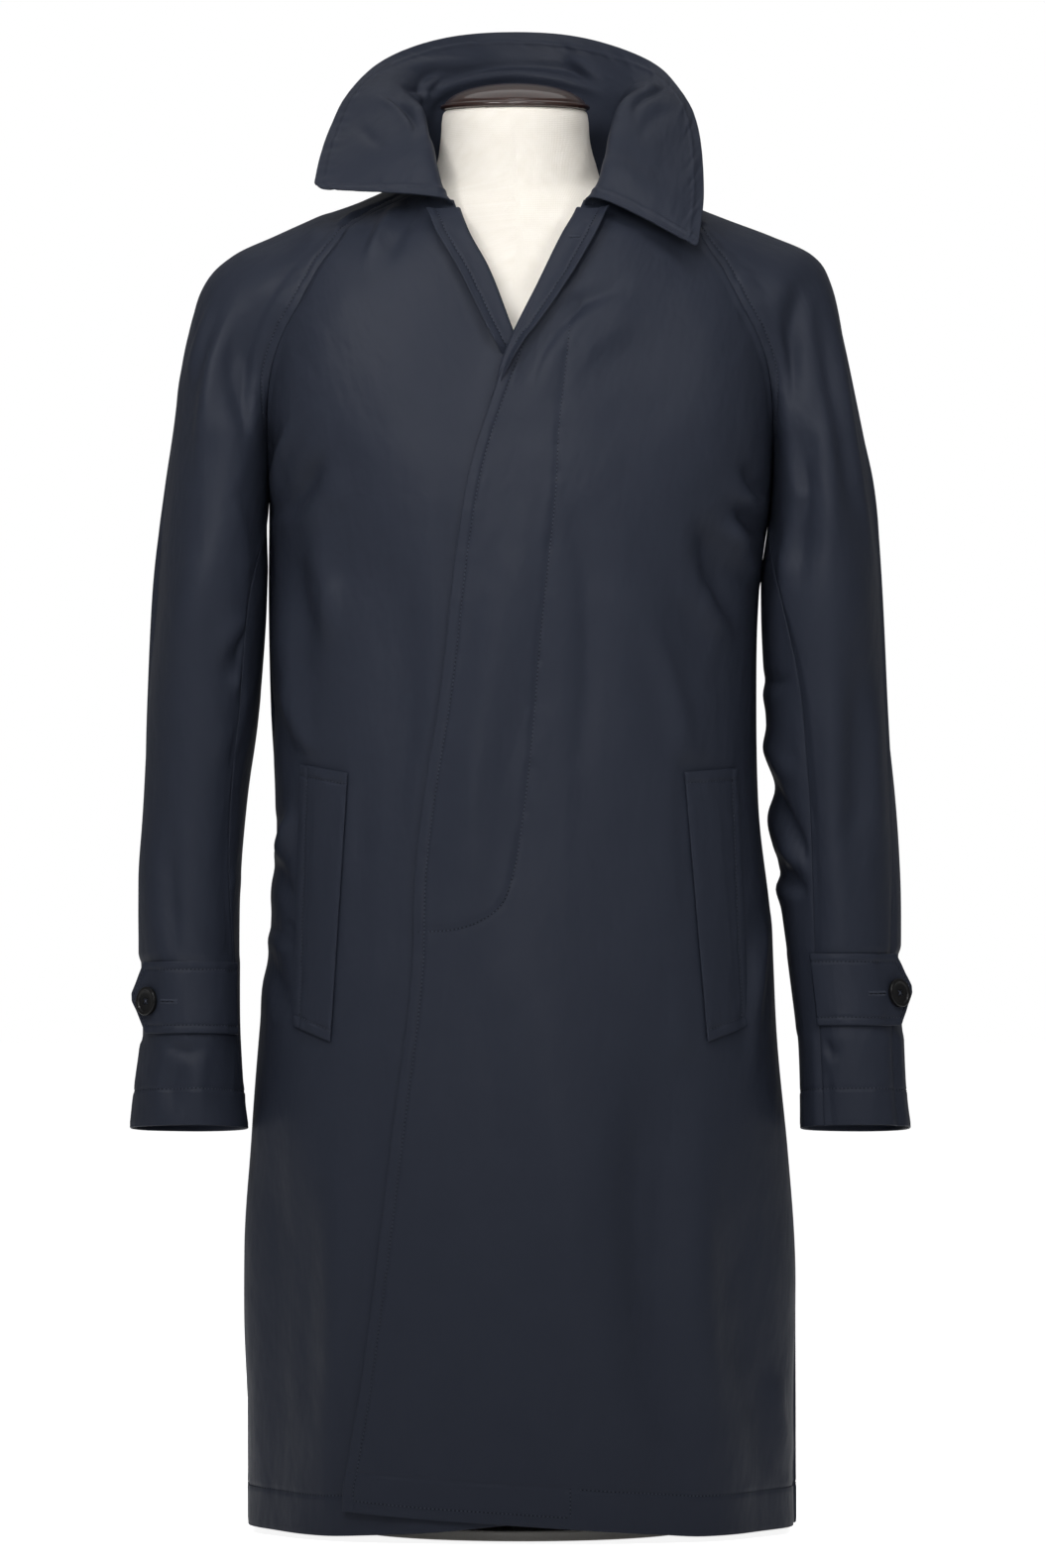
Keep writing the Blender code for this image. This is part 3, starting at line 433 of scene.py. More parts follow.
BACK_CREASES = table(
    CREASE,
    (-0.1500, 0.7550, -0.0600, 0.8650, 0.013, 0.0029, 0.006),
    (-0.1350, 0.7200, -0.0450, 0.8150, 0.012, -0.0024, 0.006),
    (0.1450, 0.7650, 0.0750, 0.8800, 0.014, 0.0032, -0.006),
    (0.1380, 0.7300, 0.0520, 0.8150, 0.011, -0.0022, -0.006),
    (-0.0300, 0.6300, -0.0620, 0.3600, 0.024, -0.0046, 0.010),
    (0.0420, 0.6600, 0.0620, 0.3200, 0.026, -0.0049, -0.011),
    (0.0080, 0.5600, -0.0050, 0.1600, 0.022, 0.0042, 0.008),
    (-0.1120, 0.6400, -0.1350, 0.3900, 0.018, 0.0038, 0.007),
    (0.1180, 0.6200, 0.1360, 0.4200, 0.017, 0.0034, -0.006),
    (-0.0600, 0.9600, 0.0500, 0.9640, 0.012, 0.0014, 0.006),
)

# Creases of the sleeve halves, by place in x and z
SLEEVE_CREASES = {
    (RIGHT, "front"): table(
        CREASE,
        (-0.2377, 0.9376, -0.2565, 0.8736, 0.0045, 0.0032, 0.002),
        (-0.2256, 0.9263, -0.2482, 0.8133, 0.007, 0.0038, 0.003),
        (-0.2196, 0.9188, -0.2010, 0.8284, 0.013, -0.0051, 0.004),
        (-0.2045, 0.8223, -0.1925, 0.8118, 0.004, -0.0029, 0.001),
        (-0.1172, 1.0107, -0.1488, 0.9828, 0.0045, 0.0029, 0.002),
        (-0.1111, 1.0077, -0.1172, 0.9911, 0.004, 0.0024, 0.001),
        (-0.1337, 0.9979, -0.1548, 0.9730, 0.006, -0.0026, 0.002),
        (-0.2000, 0.6943, -0.2200, 0.6641, 0.006, -0.0035, 0.002),
        (-0.2030, 0.6641, -0.2190, 0.6400, 0.006, 0.0032, 0.002),
        (-0.2090, 0.6137, -0.2160, 0.5835, 0.007, -0.0032, 0.002),
        (-0.2678, 0.5308, -0.2648, 0.4404, 0.007, -0.0032, 0.002),
        (-0.2720, 0.3800, -0.2450, 0.3650, 0.006, -0.0024, 0.002),
        (-0.2620, 0.3700, -0.2680, 0.3180, 0.007, -0.0020, 0.002),
        (-0.2430, 0.3720, -0.2460, 0.3180, 0.008, 0.0020, 0.002),
        (-0.2300, 0.7700, -0.2620, 0.6600, 0.014, 0.0032, 0.005),
    ),
    (LEFT, "front"): table(
        CREASE,
        (0.2309, 0.9527, 0.2686, 0.7455, 0.0045, 0.0038, 0.001),
        (0.2430, 0.9414, 0.2746, 0.7455, 0.005, -0.0022, 0.002),
        (0.2143, 0.9565, 0.2023, 0.8660, 0.009, -0.0045, 0.004),
        (0.2113, 0.8434, 0.2113, 0.7078, 0.011, -0.0054, 0.003),
        (0.2339, 0.8660, 0.2369, 0.7304, 0.009, 0.0029, 0.003),
        (0.2400, 0.6400, 0.2415, 0.4480, 0.010, 0.0026, 0.004),
        (0.2535, 0.6852, 0.2535, 0.4894, 0.010, -0.0029, 0.003),
        (0.2700, 0.6500, 0.2720, 0.5200, 0.006, 0.0022, 0.002),
        (0.2250, 0.3740, 0.2420, 0.3660, 0.005, -0.0021, 0.001),
    ),
    (RIGHT, "back"): table(
        CREASE,
        (-0.2350, 0.9300, -0.2620, 0.8000, 0.006, 0.0035, 0.003),
        (-0.2150, 0.9000, -0.2150, 0.7600, 0.011, -0.0048, 0.004),
        (-0.2050, 0.7000, -0.2620, 0.6550, 0.009, -0.0042, 0.004),
        (-0.2100, 0.6400, -0.2700, 0.6000, 0.009, 0.0035, 0.004),
        (-0.2850, 0.5600, -0.2250, 0.5150, 0.008, -0.0038, 0.003),
        (-0.2200, 0.5000, -0.2700, 0.4650, 0.008, 0.0032, 0.003),
    ),
    (LEFT, "back"): table(
        CREASE,
        (0.2350, 0.9300, 0.2640, 0.7900, 0.006, 0.0035, 0.003),
        (0.2080, 0.9000, 0.2120, 0.7500, 0.011, -0.0048, 0.004),
        (0.1827, 0.6551, 0.2015, 0.6476, 0.006, -0.0029, 0.002),
        (0.1842, 0.6099, 0.2053, 0.5722, 0.007, 0.0038, 0.002),
        (0.1865, 0.5760, 0.2166, 0.5180, 0.005, -0.0054, 0.002),
        (0.1963, 0.5270, 0.2166, 0.5044, 0.005, 0.0032, 0.002),
        (0.1940, 0.5059, 0.2166, 0.4878, 0.005, -0.0038, 0.001),
        (0.2700, 0.6200, 0.2300, 0.5700, 0.009, -0.0035, 0.003),
    ),
}

# Creases of the collar, by distance along the neck seam and up from it
COLLAR_CREASES = table(
    CREASE,
    (0.128, 0.095, 0.062, 0.058, 0.0030, 0.0038, -0.004),
    (0.152, 0.089, 0.084, 0.062, 0.0050, -0.0046, -0.003),
    (0.178, 0.076, 0.068, 0.047, 0.0030, 0.0036, -0.003),
    (0.212, 0.088, 0.176, 0.075, 0.0030, -0.0036, 0.001),
    (0.156, 0.093, 0.198, 0.079, 0.0035, 0.0026, 0.001),
    (0.197, 0.105, 0.236, 0.092, 0.0055, -0.0026, 0.002),
    (0.184, 0.071, 0.290, 0.076, 0.0050, -0.0046, -0.007),
    (0.216, 0.083, 0.290, 0.086, 0.0050, 0.0030, -0.004),
    (0.273, 0.101, 0.289, 0.084, 0.0035, -0.0030, 0.001),
    (0.355, 0.112, 0.414, 0.070, 0.0040, 0.0036, 0.004),
    (0.364, 0.098, 0.318, 0.070, 0.0080, -0.0040, 0.003),
    (0.392, 0.108, 0.430, 0.070, 0.0060, 0.0016, 0.003),
    (0.092, 0.112, 0.048, 0.080, 0.0045, 0.0016, 0.002),
    (0.440, 0.035, 0.455, 0.095, 0.0120, 0.0014, 0.003),
)
COLLAR_ROUND = {RIGHT: 0.010, LEFT: 0.004}

# A fold has a hollow on its lee side: its depth as a share of the fold, its place and its width
LEE_SHARE = 0.5
LEE_PLACE = 1.9
LEE_WIDTH = 1.4

# How strongly the folds of the body and the sleeves stand out, and the shares of a fold's length over which
# it rises and fades
FOLD_DEPTH = 1.3
FOLD_RISES = (-0.15, 0.35)
FOLD_FADES = (0.6, 1.15)

# Slow waves of hanging cloth: lengths across and up, phase, height
DRAPE = table(
    "across up phase height",
    (0.150, 0.420, 0.3, 0.0011),
    (0.083, -0.310, 1.9, 0.0005),
    (0.230, 0.700, 4.0, 0.0018),
)

# Waves that a row of stitches draws into cloth: length, phase, share
PUCKERS = table(
    "length phase share",
    (0.0110, 1.3, 0.30),
    (0.0173, 0.4, 0.38),
    (0.0270, 2.1, 0.44),
    (0.0610, 5.0, 0.30),
)

# Steps of a grid's rows and columns from a border
RIM_STEPS = (0.0, 0.0002, 0.0005, 0.0010)
EDGE_STEPS = RIM_STEPS + tuple(np.arange(0.002, 0.0135, 0.001))
SEAM_STEPS = RIM_STEPS + tuple(np.arange(0.002, 0.0095, 0.001))
HEM_STEPS = EDGE_STEPS + tuple(np.arange(0.015, 0.0405, 0.0018))
FLY_STEPS = tuple(np.arange(0.017, 0.038, 0.004)) + tuple(np.arange(0.0395, 0.0800, 0.0017))
FORM_STEPS = (0.0, 0.0005, 0.0015, 0.003)
COARSE_COLUMNS = 90
NECK_POINTS = 24

# Rows and columns between those steps
SKIRT_ROWS = 60
WAIST_ROWS = 122
CHEST_ROWS = 84
FRONT_COLUMNS = {LEFT: 52, RIGHT: 62}
BACK_COLUMNS = 52
YOKE_ROWS = 100
ARM_ROWS = 132
SLEEVE_COLUMNS = 40
COLLAR_ROWS = 300
COLLAR_COLUMNS = 66
FACING_ROWS = 40
FACING_COLUMNS = 16
WELT_ROWS = 54
WELT_COLUMNS = 6
STRAP_ROWS = 14
STRAP_COLUMNS = (42, 34)
FORM_ROWS = 110
CAP_ROWS = 60
CAP_SHORT = 0.12
FLY_POINTS = 120
STEP_POINTS = 8
STATION_POINTS = 200

# Turns of a facing round the front's edge: first, last and count; and its column where the fold ends
FACING_TURNS = (-90, 80, 14)
FOLD_COLUMN = 11
FACING_ROLL_LEAST = 0.2

# Most of a length that the fixed steps at its two ends may take up
FIXED_MOST = 0.8

# Rings of a thread, as shares: place along its length, size, and lift off the cloth
THREAD_RINGS = ((-0.5, 0.6, -0.5), (0.0, 1.0, 0.4), (0.5, 0.6, -0.5))

# Lap and half gap at the seams, as shares of a panel's and a sleeve half's width
PANEL_WIDTH = 0.25
SLEEVE_WIDTH = 0.05
BODY_LAP = SEAM_LAP / PANEL_WIDTH
SLEEVE_INSET = SEAM_GAP / 2 / SLEEVE_WIDTH

# Runs of cloth that rows are spread over
YOKE_RUN = 0.28
COLLAR_RUN = 0.50
FACING_RUN = 0.115
FACING_WIDTH = 0.024
FACING_FOLD_TOP = 1.0080
FACING_EDGE_INSET = 0.0075
WELT_RUN = 0.205
WELT_WIDTH = 0.036
WELT_SWELL = 0.0004
HEM_RISE = 0.00025
V_FOOT_Z = 0.905

# How far cloth may sink towards what lies under it, and where it comes free: the left front by x, the
# sleeve by station and by turn from its ridge
OVERLAP_GIVE = 0.0006
SHOULDER_GIVE = 0.0004
FREE_GIVE = 0.0070
OVERLAP_FREE_X = (0.03, 0.06)
SHOULDER_FREE_STATIONS = (5.5, 7.5)
RIDGE_FREE_TURNS = (30, 60)

# Distances over which folds fade out at a border or beside a sewn piece
SIDE_FADE = 0.007
NECK_FADE = 0.014
WELT_FADE = (0.012, 0.015)
UNDERLAP_FADE = (-0.022, -0.004)
BACK_FADE = 0.03
SLEEVE_FADES = {"end": 0.008, "start": 0.010, "foot": 0.012}
STRAP_FADE = 0.008
COLLAR_FADE = 0.02

# Where a sleeve lies against the body and has no folds: turns in degrees, their fade, and stations
AGAINST_BODY_TURNS = (145, 215)
AGAINST_BODY_FADE = 15
AGAINST_BODY_STATIONS = (9.2, 10.2)

# Distances over which the relief of sewing begins and ends
HEM_FOLD = 0.004
HEM_SOFT = 0.002
V_FADE = 0.02
FLY_FADE = 0.006
FLY_STITCH_FADE = 0.004
RAGLAN_FADE = 0.01
RAGLAN_START = (0.012, 0.02)
FACING_WIDE = (0.012, 0.017)
FACING_FOLD_FADE = 0.003
WELT_SWELL_RUN = (0.004, 0.03)
WELT_SWELL_FADE = 0.004
STRAP_END_FADE = 0.012

# Bare lengths at the ends of rows of stitches
RAGLAN_SKIP = (0.014, 0.0)
HEM_SKIP = (0.0, 0.001)
COLLAR_SKIP = (0.004, EDGE_INSET)
FACING_SKIP = 0.004
WELT_SKIP = (0.002, TRIM_INSET)
STRAP_SKIP = (0.001, 0.006)

# Rounds that smooth the sleeve where its yoke meets the arm, and the collar above its seam's corners, with
# the stations or shares between which they work, their fade, and the distance from a seam where they begin
SLEEVE_ROUNDS = 120
SLEEVE_ROUND_STATIONS = (ARMPIT_STATION - 0.5, ARMPIT_STATION + 0.35)
SLEEVE_ROUND_FADE = 0.5
SLEEVE_ROUND_START = (0.0, 0.03)
COLLAR_ROUNDS = 45
COLLAR_ROUND_SHARES = (0.28, 0.72)
COLLAR_ROUND_FADE = 0.05
COLLAR_ROUND_START = (0.002, 0.022)

# Buttonholes: pitch of the stitches, half height of the stitched band, half length at the cuffs, distance
# from the button, and the one in the facing as x, half length and z
HOLE_PITCH = 0.0007
HOLE_HALF = 0.0011
CUFF_HOLE_HALF = 0.0064
HOLE_FROM_BUTTON = 0.0160
REVERS_HOLE = (0.0390, 0.0040, 0.9850)

# Pattern sizes of the materials; the twill's ribs, the slubs and the canvas yarns are drawn coarser than
# real ones, so that they show
CLOTH_COLOURS = ("#292d38", "#2c303b")
TWILL_PITCH = 0.0009
TWILL_SLANT = math.radians(27)
TWILL_RISE = 0.0002
SLUB_SIZE = 0.0016
DYE_PATCH = 0.030
CRUMPLE_SIZE = 0.022
CRUMPLE_RISE = 0.0020
CRUMPLE_DRAWN = (1, 0.5, 1)
TWIST_SIZE = 0.004
FIBRE_SIZE = 0.0015
CLOUD_SIZE = 0.006
CANVAS_PITCH = 0.0014
CANVAS_RISE = 0.0004
CANVAS_SLUB = 0.012
GRAIN_WIDTH = 0.004
GRAIN_DRAWN = (1.0, 0.12, 1.0)
GRAIN_RISE = 0.0002
SCRATCH_WIDTH = 0.0008
SCRATCH_DRAWN = (1.0, 1.0, 0.02)
PEEL_SIZE = 0.0018
PEEL_RISE = 0.0002

# A wave texture's scale for one wave in a metre, and the sockets of Mix nodes by number
WAVE_TURN = 2 * math.pi / 20
FACTOR_SOCKET = 0
LOW_SOCKET, HIGH_SOCKET = 2, 3
A_SOCKET, B_SOCKET, COLOUR_OUT = 6, 7, 2

# Stage, light and camera
FLOOR_SIZE = 30.0
FLOOR_GLOW = 0.90
FLOOR_BOUNCE = 0.05
SURROUND = 0.14
CAMERA_AWAY = 8.0
CAMERA_Z = 0.5715
SENSOR_MM = 36
BEHIND_Y = 1

# Height of the picture at the coat: its pixels by the metres to a pixel
FRAME_HEIGHT = 1582 * 0.00076

# Lights: name, place, aim, size, spread in degrees, power in watts
LIGHTS = (
    ("key", (-0.90, -1.35, 1.90), (0.0, 0.0, 0.95), (0.5, 0.5), 180, 13.0),
    ("fill", (1.00, -1.40, 1.65), (0.0, 0.0, 0.95), (0.5, 0.5), 180, 5.0),
    ("front", (-0.15, -1.75, 1.25), (0.0, 0.0, 0.74), (0.5, 0.5), 45, 0.62),
    ("top", (0.1, -1.4, 2.7), (0.0, 0.0, 0.95), (0.8, 0.5), 180, 14.0),
    ("overhead", (0.0, 0.7, 3.1), (0.0, 0.0, 1.00), (2.4, 1.8), 180, 10.0),
    ("back_key", (0.9, 2.1, 1.95), (0.0, 0.0, 0.85), (0.8, 0.8), 180, 26.0),
    ("back_fill", (-1.1, 2.0, 1.55), (0.0, 0.0, 0.80), (0.8, 0.8), 180, 17.0),
)


def slopes(keys, values):
    """Slopes that carry a smooth curve through the values without overshoot."""
    rise = np.diff(values) / np.diff(keys)
    before = np.concatenate([rise[:1], rise])
    after = np.concatenate([rise, rise[-1:]])
    steepest = 3 * np.minimum(abs(before), abs(after))
    mean = np.clip((before + after) / 2, -steepest, steepest)
    return np.where(before * after <= 0, 0.0, mean)


def curve(keys, values, at):
    """A smooth curve through values at keys, read at one or more places."""
    at = np.clip(np.asarray(at, float), keys[0], keys[-1])
    slope = slopes(keys, values)
    i = np.clip(np.searchsorted(keys, at) - 1, 0, len(keys) - 2)
    step = keys[i + 1] - keys[i]
    t = (at - keys[i]) / step
    start = values[i] * (1 + 2 * t) * (1 - t) ** 2 + slope[i] * step * t * (1 - t) ** 2
    end = values[i + 1] * t * t * (3 - 2 * t) - slope[i + 1] * step * t * t * (1 - t)
    return start + end


def read(rows, column, at, key="z"):
    return curve(rows[key], rows[column], at)


def mix(a, b, share):
    return a + (b - a) * share


def ease(low, high, value):
    """0 below low, 1 above high, and a soft step between them."""
    t = np.clip((value - low) / (high - low), 0, 1)
    return t * t * (3 - 2 * t)


def oval(angle, half, deep, power):
    """Across and ahead on a squared oval, at angles from straight ahead."""
    across = np.sin(angle)
    ahead = np.cos(angle)
    x = half * np.sign(across) * abs(across) ** (2 / power)
    y = -deep * np.sign(ahead) * abs(ahead) ** (2 / power)
    return x, y


def flutes(angle, z):
    """How far the skirt's soft folds stand out at an angle and height."""
    total = np.zeros(np.broadcast(angle, z).shape)
    for centre, width, depth, top in zip(*FLUTES.values()):
        away = (np.degrees(angle) - centre + 180) % 360 - 180
        total = total + depth * np.exp(-((away / width) ** 2)) * ease(0, 1, 1 - z / top)
    return total


def body_point(angle, z):
    """A point of the coat's body at an angle from the front, growing to the wearer's left."""
    half = np.where(np.sin(angle) < 0, read(BODY, "right", z), read(BODY, "left", z))
    deep = np.where(np.cos(angle) > 0, read(BODY, "front", z), read(BODY, "back", z))
    x, y = oval(angle, half, deep, read(BODY, "power", z))
    out = flutes(angle, z)
    return np.stack(np.broadcast_arrays(x + out * np.sin(angle), y - out * np.cos(angle), z), -1)


def share_angle(share, z):
    return np.arcsin(np.clip(share, 0, 1) ** (read(BODY, "power", z) / 2))


def body_angle(x, z):
    """The angle from the front at which the body's front half is at x."""
    half = np.where(x < 0, read(BODY, "right", z), read(BODY, "left", z))
    return np.sign(x) * share_angle(abs(x) / half, z)


def grid_normals(grid):
    """Unit normals of a grid of points, columns crossed with rows."""
    normal = np.cross(np.gradient(grid, axis=1), np.gradient(grid, axis=0))
    return normal / np.linalg.norm(normal, axis=2, keepdims=True)


def front_lift(side, x, z):
    """How far the overlapping left front stands off the body's surface."""
    if side == RIGHT:
        return np.zeros(np.broadcast(x, z).shape)
    return read(OVERLAP_LIFT, "lift", z) * (1 - ease(LIFT_FULL_X, LIFT_GONE_X, x))


def front_surface(side, x, z):
    """A point of a front panel's outside at x and z."""
    point = body_point(body_angle(x, z), z)
    point[..., 1] -= front_lift(side, x, z)
    return point


def front_normal(side, x, z):
    """The outward unit normal of a front panel at x and z."""
    step = 0.002
    across = front_surface(side, x + step, z) - front_surface(side, x - step, z)
    up = front_surface(side, x, z + step) - front_surface(side, x, z - step)
    normal = np.cross(across, up)
    return normal / np.linalg.norm(normal, axis=-1, keepdims=True)


def body_normal(angle, z):
    """The outward unit normal of the body at an angle and height."""
    step = 0.01
    across = body_point(angle + step, z) - body_point(angle - step, z)
    up = body_point(angle, z + step / 4) - body_point(angle, z - step / 4)
    normal = np.cross(across, up)
    return normal / np.linalg.norm(normal, axis=-1, keepdims=True)


def seam_station(rise):
    """Sleeve station of a body row above the armpit, rise 0 at the armpit and 1 at the neck."""
    return ARMPIT_STATION * (1 - rise)


def yoke(column, station):
    return curve(np.arange(ARMPIT_STATION + 1.0), YOKE[column], station)


def raglan_seam(side, ahead, station):
    """A point of the raglan seam, ahead or behind, and the body's normal there."""
    z = yoke("seam_z", station)
    angle = share_angle(yoke("share", station), z)
    angle = side * np.where(ahead, angle, math.pi - angle)
    return body_point(angle, z), body_normal(angle, z)


def side_of_row(row):
    """Height and angle from the front, in size, of a row's end at the side or raglan seam."""
    below = mix(HEM_Z, ARMPIT_Z, np.clip(row, 0, 1))
    station = seam_station(np.clip(row - 1, 0, 1))
    z = np.where(row <= 1, below, yoke("seam_z", station))
    angle = np.where(row <= 1, math.pi / 2, share_angle(yoke("share", station), z))
    return z, angle


def front_grid(side, rows, across):
    """Points of a front panel; across runs from 0 at its free edge to 1 at the side seam."""
    edge, hem = (LEFT_EDGE, LEFT_HEM) if side == LEFT else (RIGHT_EDGE, RIGHT_HEM)
    row = rows[:, None]
    share = np.atleast_2d(across)
    side_z, side_angle = side_of_row(row)
    edge_z = np.where(row <= 1, side_z, mix(ARMPIT_Z, NOTCH_Z, row - 1))
    edge_angle = body_angle(read(edge, "x", edge_z), edge_z)
    angle = mix(edge_angle, side * side_angle, share)
    z = mix(edge_z, side_z, share)
    x = body_point(angle, z)[..., 0]
    z = z + (read(hem, "z", x, "x") - HEM_Z) * np.clip(1 - row / HEM_BLEND, 0, 1) ** 2
    point = body_point(angle, z)
    point[..., 1] -= front_lift(side, point[..., 0], z)
    return point


def back_grid(rows, across):
    """Points of the back panel; across runs from -1 at the right seam to 1 at the left."""
    row = rows[:, None]
    share = np.atleast_2d(across)
    side_z, side_angle = side_of_row(row)
    z = side_z + BACK_NECK_RISE * np.clip(row - 1, 0, 1) ** 2 * (1 - share ** 2)
    return body_point(math.pi - side_angle * share, z)


def sleeve_line(yoke_column, arm_column, station):
    """One coordinate along the sleeve's outer line: the yoke's ridge, then the arm's."""
    values = np.concatenate([YOKE[yoke_column], ARM[arm_column]])
    return curve(np.arange(len(values) + 0.0), values, station)


def arm(column, station, at_armpit):
    """An arm column carried up to the armpit ring, where it has the value at_armpit."""
    values = np.concatenate([[at_armpit], ARM[column]])
    return curve(np.arange(len(values) + 0.0), values, np.clip(station - ARMPIT_STATION, 0, None))


def seam_turn(side, which, station):
    """Angle in radians by which a sleeve seam turns to the front."""
    if side == RIGHT and which == "over":
        return np.zeros(np.shape(station))
    word = "left" if side == LEFT else "right"
    return np.radians(arm(f"{word}_{which}", station, 0.0))


def bezier(a, b, c, d, t):
    """Points of a cubic curve with ends a and d and handles b and c."""
    t = t[..., None]
    return a * (1 - t) ** 3 + 3 * b * t * (1 - t) ** 2 + 3 * c * t * t * (1 - t) + d * t ** 3


def sleeve_point(side, station, turn):
    """A point of a sleeve: turn is 0 on the outer line, pi / 2 in front and pi on the inner line."""
    station, turn = np.broadcast_arrays(np.asarray(station, float), turn)
    word = "left" if side == LEFT else "right"
    forward = np.where(turn <= math.pi, -1.0, 1.0)
    on_arm = station > ARMPIT_STATION
    middle = arm("y", station, 0.0)
    outer_x = side * sleeve_line(f"{word}_x", f"{word}_outer", station)
    outer_z = sleeve_line(f"{word}_z", "z", station)
    outer = np.stack([outer_x, middle, outer_z], -1)

    on_yoke = np.clip(station, 0, ARMPIT_STATION)
    seam, normal = raglan_seam(side, forward < 0, on_yoke)
    inner_x = side * arm(f"{word}_inner", station, read(BODY, word, ARMPIT_Z))
    inner = np.stack([inner_x, middle, arm("z", station, ARMPIT_Z)], -1)
    inner = np.where(on_arm[..., None], inner, seam)

    depth = arm("depth", station, YOKE["reach"][-1] / HALF_OVAL_HANDLE) * HALF_OVAL_HANDLE
    reach = np.where(on_arm, depth, yoke("reach", on_yoke))
    swell = np.where(on_arm, depth, yoke("swell", on_yoke))
    swing = np.where(on_arm, 1.0, yoke("turn", on_yoke)) * math.pi / 2
    ahead = np.stack([np.zeros_like(forward), forward, np.zeros_like(forward)], -1)
    aside = outer - inner
    aside = aside - normal * np.sum(aside * normal, -1, keepdims=True)
    aside = aside / np.linalg.norm(aside, axis=-1, keepdims=True)
    seam_handle = aside * np.cos(swing)[..., None] + ahead * np.sin(swing)[..., None]

    t = np.where(turn <= math.pi, turn, 2 * math.pi - turn) / math.pi
    point = bezier(outer, outer + ahead * reach[..., None], inner + seam_handle * swell[..., None],
                   inner, t)
    point[..., 2] -= arm("tilt", station, 0.0) * (point[..., 1] - middle)
    return point


def sleeve_turn(side, face, station, across):
    """Turn of a sleeve half's points; across is 0 at the overarm seam and 1 at the other."""
    over = seam_turn(side, "over", station)
    under = math.pi - seam_turn(side, "under", station)
    if face == "back":
        over = over + 2 * math.pi
    return mix(over, under, across)


def sleeve_grid(side, face, stations, across):
    """Points of a sleeve's front or back half."""
    station = stations[:, None]
    turn = sleeve_turn(side, face, station, np.atleast_2d(across))
    turn = np.where(turn > 2 * math.pi, turn - 2 * math.pi, turn)
    return sleeve_point(side, station, turn)


def spread(points, shares):
    """Points at shares of the way along a line of points."""
    steps = np.linalg.norm(np.diff(points, axis=0), axis=1)
    along = np.concatenate([[0], np.cumsum(steps)])
    at = shares * along[-1]
    return np.stack([np.interp(at, along, points[:, k]) for k in range(3)], -1)


def neckline(shares):
    """Points of the neck seam from the right notch round the back to the left notch."""
    fine = np.linspace(SLEEVE_INSET, 1 - SLEEVE_INSET, NECK_POINTS)
    top = np.array([2.0])
    neck = np.array([0.0])
    front_right = front_grid(RIGHT, top, fine)[0]
    sleeve_right = np.concatenate([
        sleeve_grid(RIGHT, "front", neck, fine)[0][::-1],
        sleeve_grid(RIGHT, "back", neck, fine)[0],
    ])
    back = back_grid(top, np.linspace(-1, 1, 2 * NECK_POINTS))[0]
    sleeve_left = np.concatenate([
        sleeve_grid(LEFT, "back", neck, fine)[0][::-1],
        sleeve_grid(LEFT, "front", neck, fine)[0],
    ])
    front_left = front_grid(LEFT, top, fine)[0][::-1]
    return spread(np.concatenate([front_right, sleeve_right, back, sleeve_left, front_left]), shares)


def collar_grid(along, up):
    """Points of the collar's outside: along the neck seam, and up a rolled profile at each place."""
    lap = 1 - ease(0, COLLAR_LAP_RUN / COLLAR_RUN, np.minimum(along, 1 - along))
    drop = mix(COLLAR_TUCK, COLLAR_LAP_DROP, lap)
    base = neckline(along) - np.stack([0 * lap, COLLAR_LAP_OUT * lap, drop], -1)
    corner = np.stack([read(COLLAR, f"corner_{axis}", along, "along") for axis in "xyz"], -1)
    edge = np.stack([read(COLLAR, f"edge_{axis}", along, "along") for axis in "xyz"], -1)
    first = mix(base, corner, COLLAR_SHARPNESS)
    last = mix(edge, corner, COLLAR_SHARPNESS)
    up = np.broadcast_to(up, (len(along), np.shape(up)[-1]))
    return bezier(base[:, None], first[:, None], last[:, None], edge[:, None], up)


def facing_grid(side, climb, turns, shares):
    """Points of a turned-back facing, from inside the front's edge round it to its free edge."""
    edge = LEFT_EDGE if side == LEFT else RIGHT_EDGE
    top = mix(FACING_FOLD_TOP, FACING_TOP, np.concatenate([np.zeros(len(turns)), shares]))
    z = mix(FACING_FOOT[side], top[None, :], climb[:, None])
    fold = read(edge, "x", z)
    rise = ease(0, FACING_MERGE[side], z - FACING_FOOT[side])[..., None]
    roll = (PANEL_WALL / 2 + FACING_GAP + TRIM_WALL) * mix(FACING_ROLL_LEAST, 1, rise)
    normal = front_normal(side, fold, z)
    heart = front_surface(side, fold, z) - normal * PANEL_WALL / 2
    off_edge = np.cross(np.gradient(heart, axis=0), normal)
    off_edge *= -side * np.sign(off_edge[..., :1]) / np.linalg.norm(off_edge, axis=-1, keepdims=True)
    bend = heart + off_edge * roll * np.cos(np.append(turns, 0 * shares))[:, None]
    bend = bend + normal * roll * np.sin(np.append(turns, 0 * shares))[:, None]
    share = np.append(0 * turns, shares)
    width = read(FACING, "left" if side == LEFT else "right", z)
    x = fold + side * width * share
    height = (FACING_GAP + TRIM_WALL + FACING_SPRING[side] * share ** 2)[:, None] * rise
    height = height - FACING_SINK * (1 - rise)
    leaf = front_surface(side, x, z) + front_normal(side, x, z) * height
    return np.where((np.arange(len(top)) < len(turns))[:, None], bend, leaf)


def welt_grid(side, up, out):
    """Points of a pocket welt, lying on its front panel."""
    top_in_x, top_in_z, top_out_x, top_out_z = POCKET[side]["top"]
    foot_in_x, foot_in_z, foot_out_x, foot_out_z = POCKET[side]["foot"]
    up = up[:, None]
    x = mix(mix(foot_in_x, foot_out_x, out), mix(top_in_x, top_out_x, out), up)
    z = mix(mix(foot_in_z, foot_out_z, out), mix(top_in_z, top_out_z, out), up)
    base = front_surface(side, side * x, z)
    return base + grid_normals(base) * side * (LYING_GAP + TRIM_CLOTH)


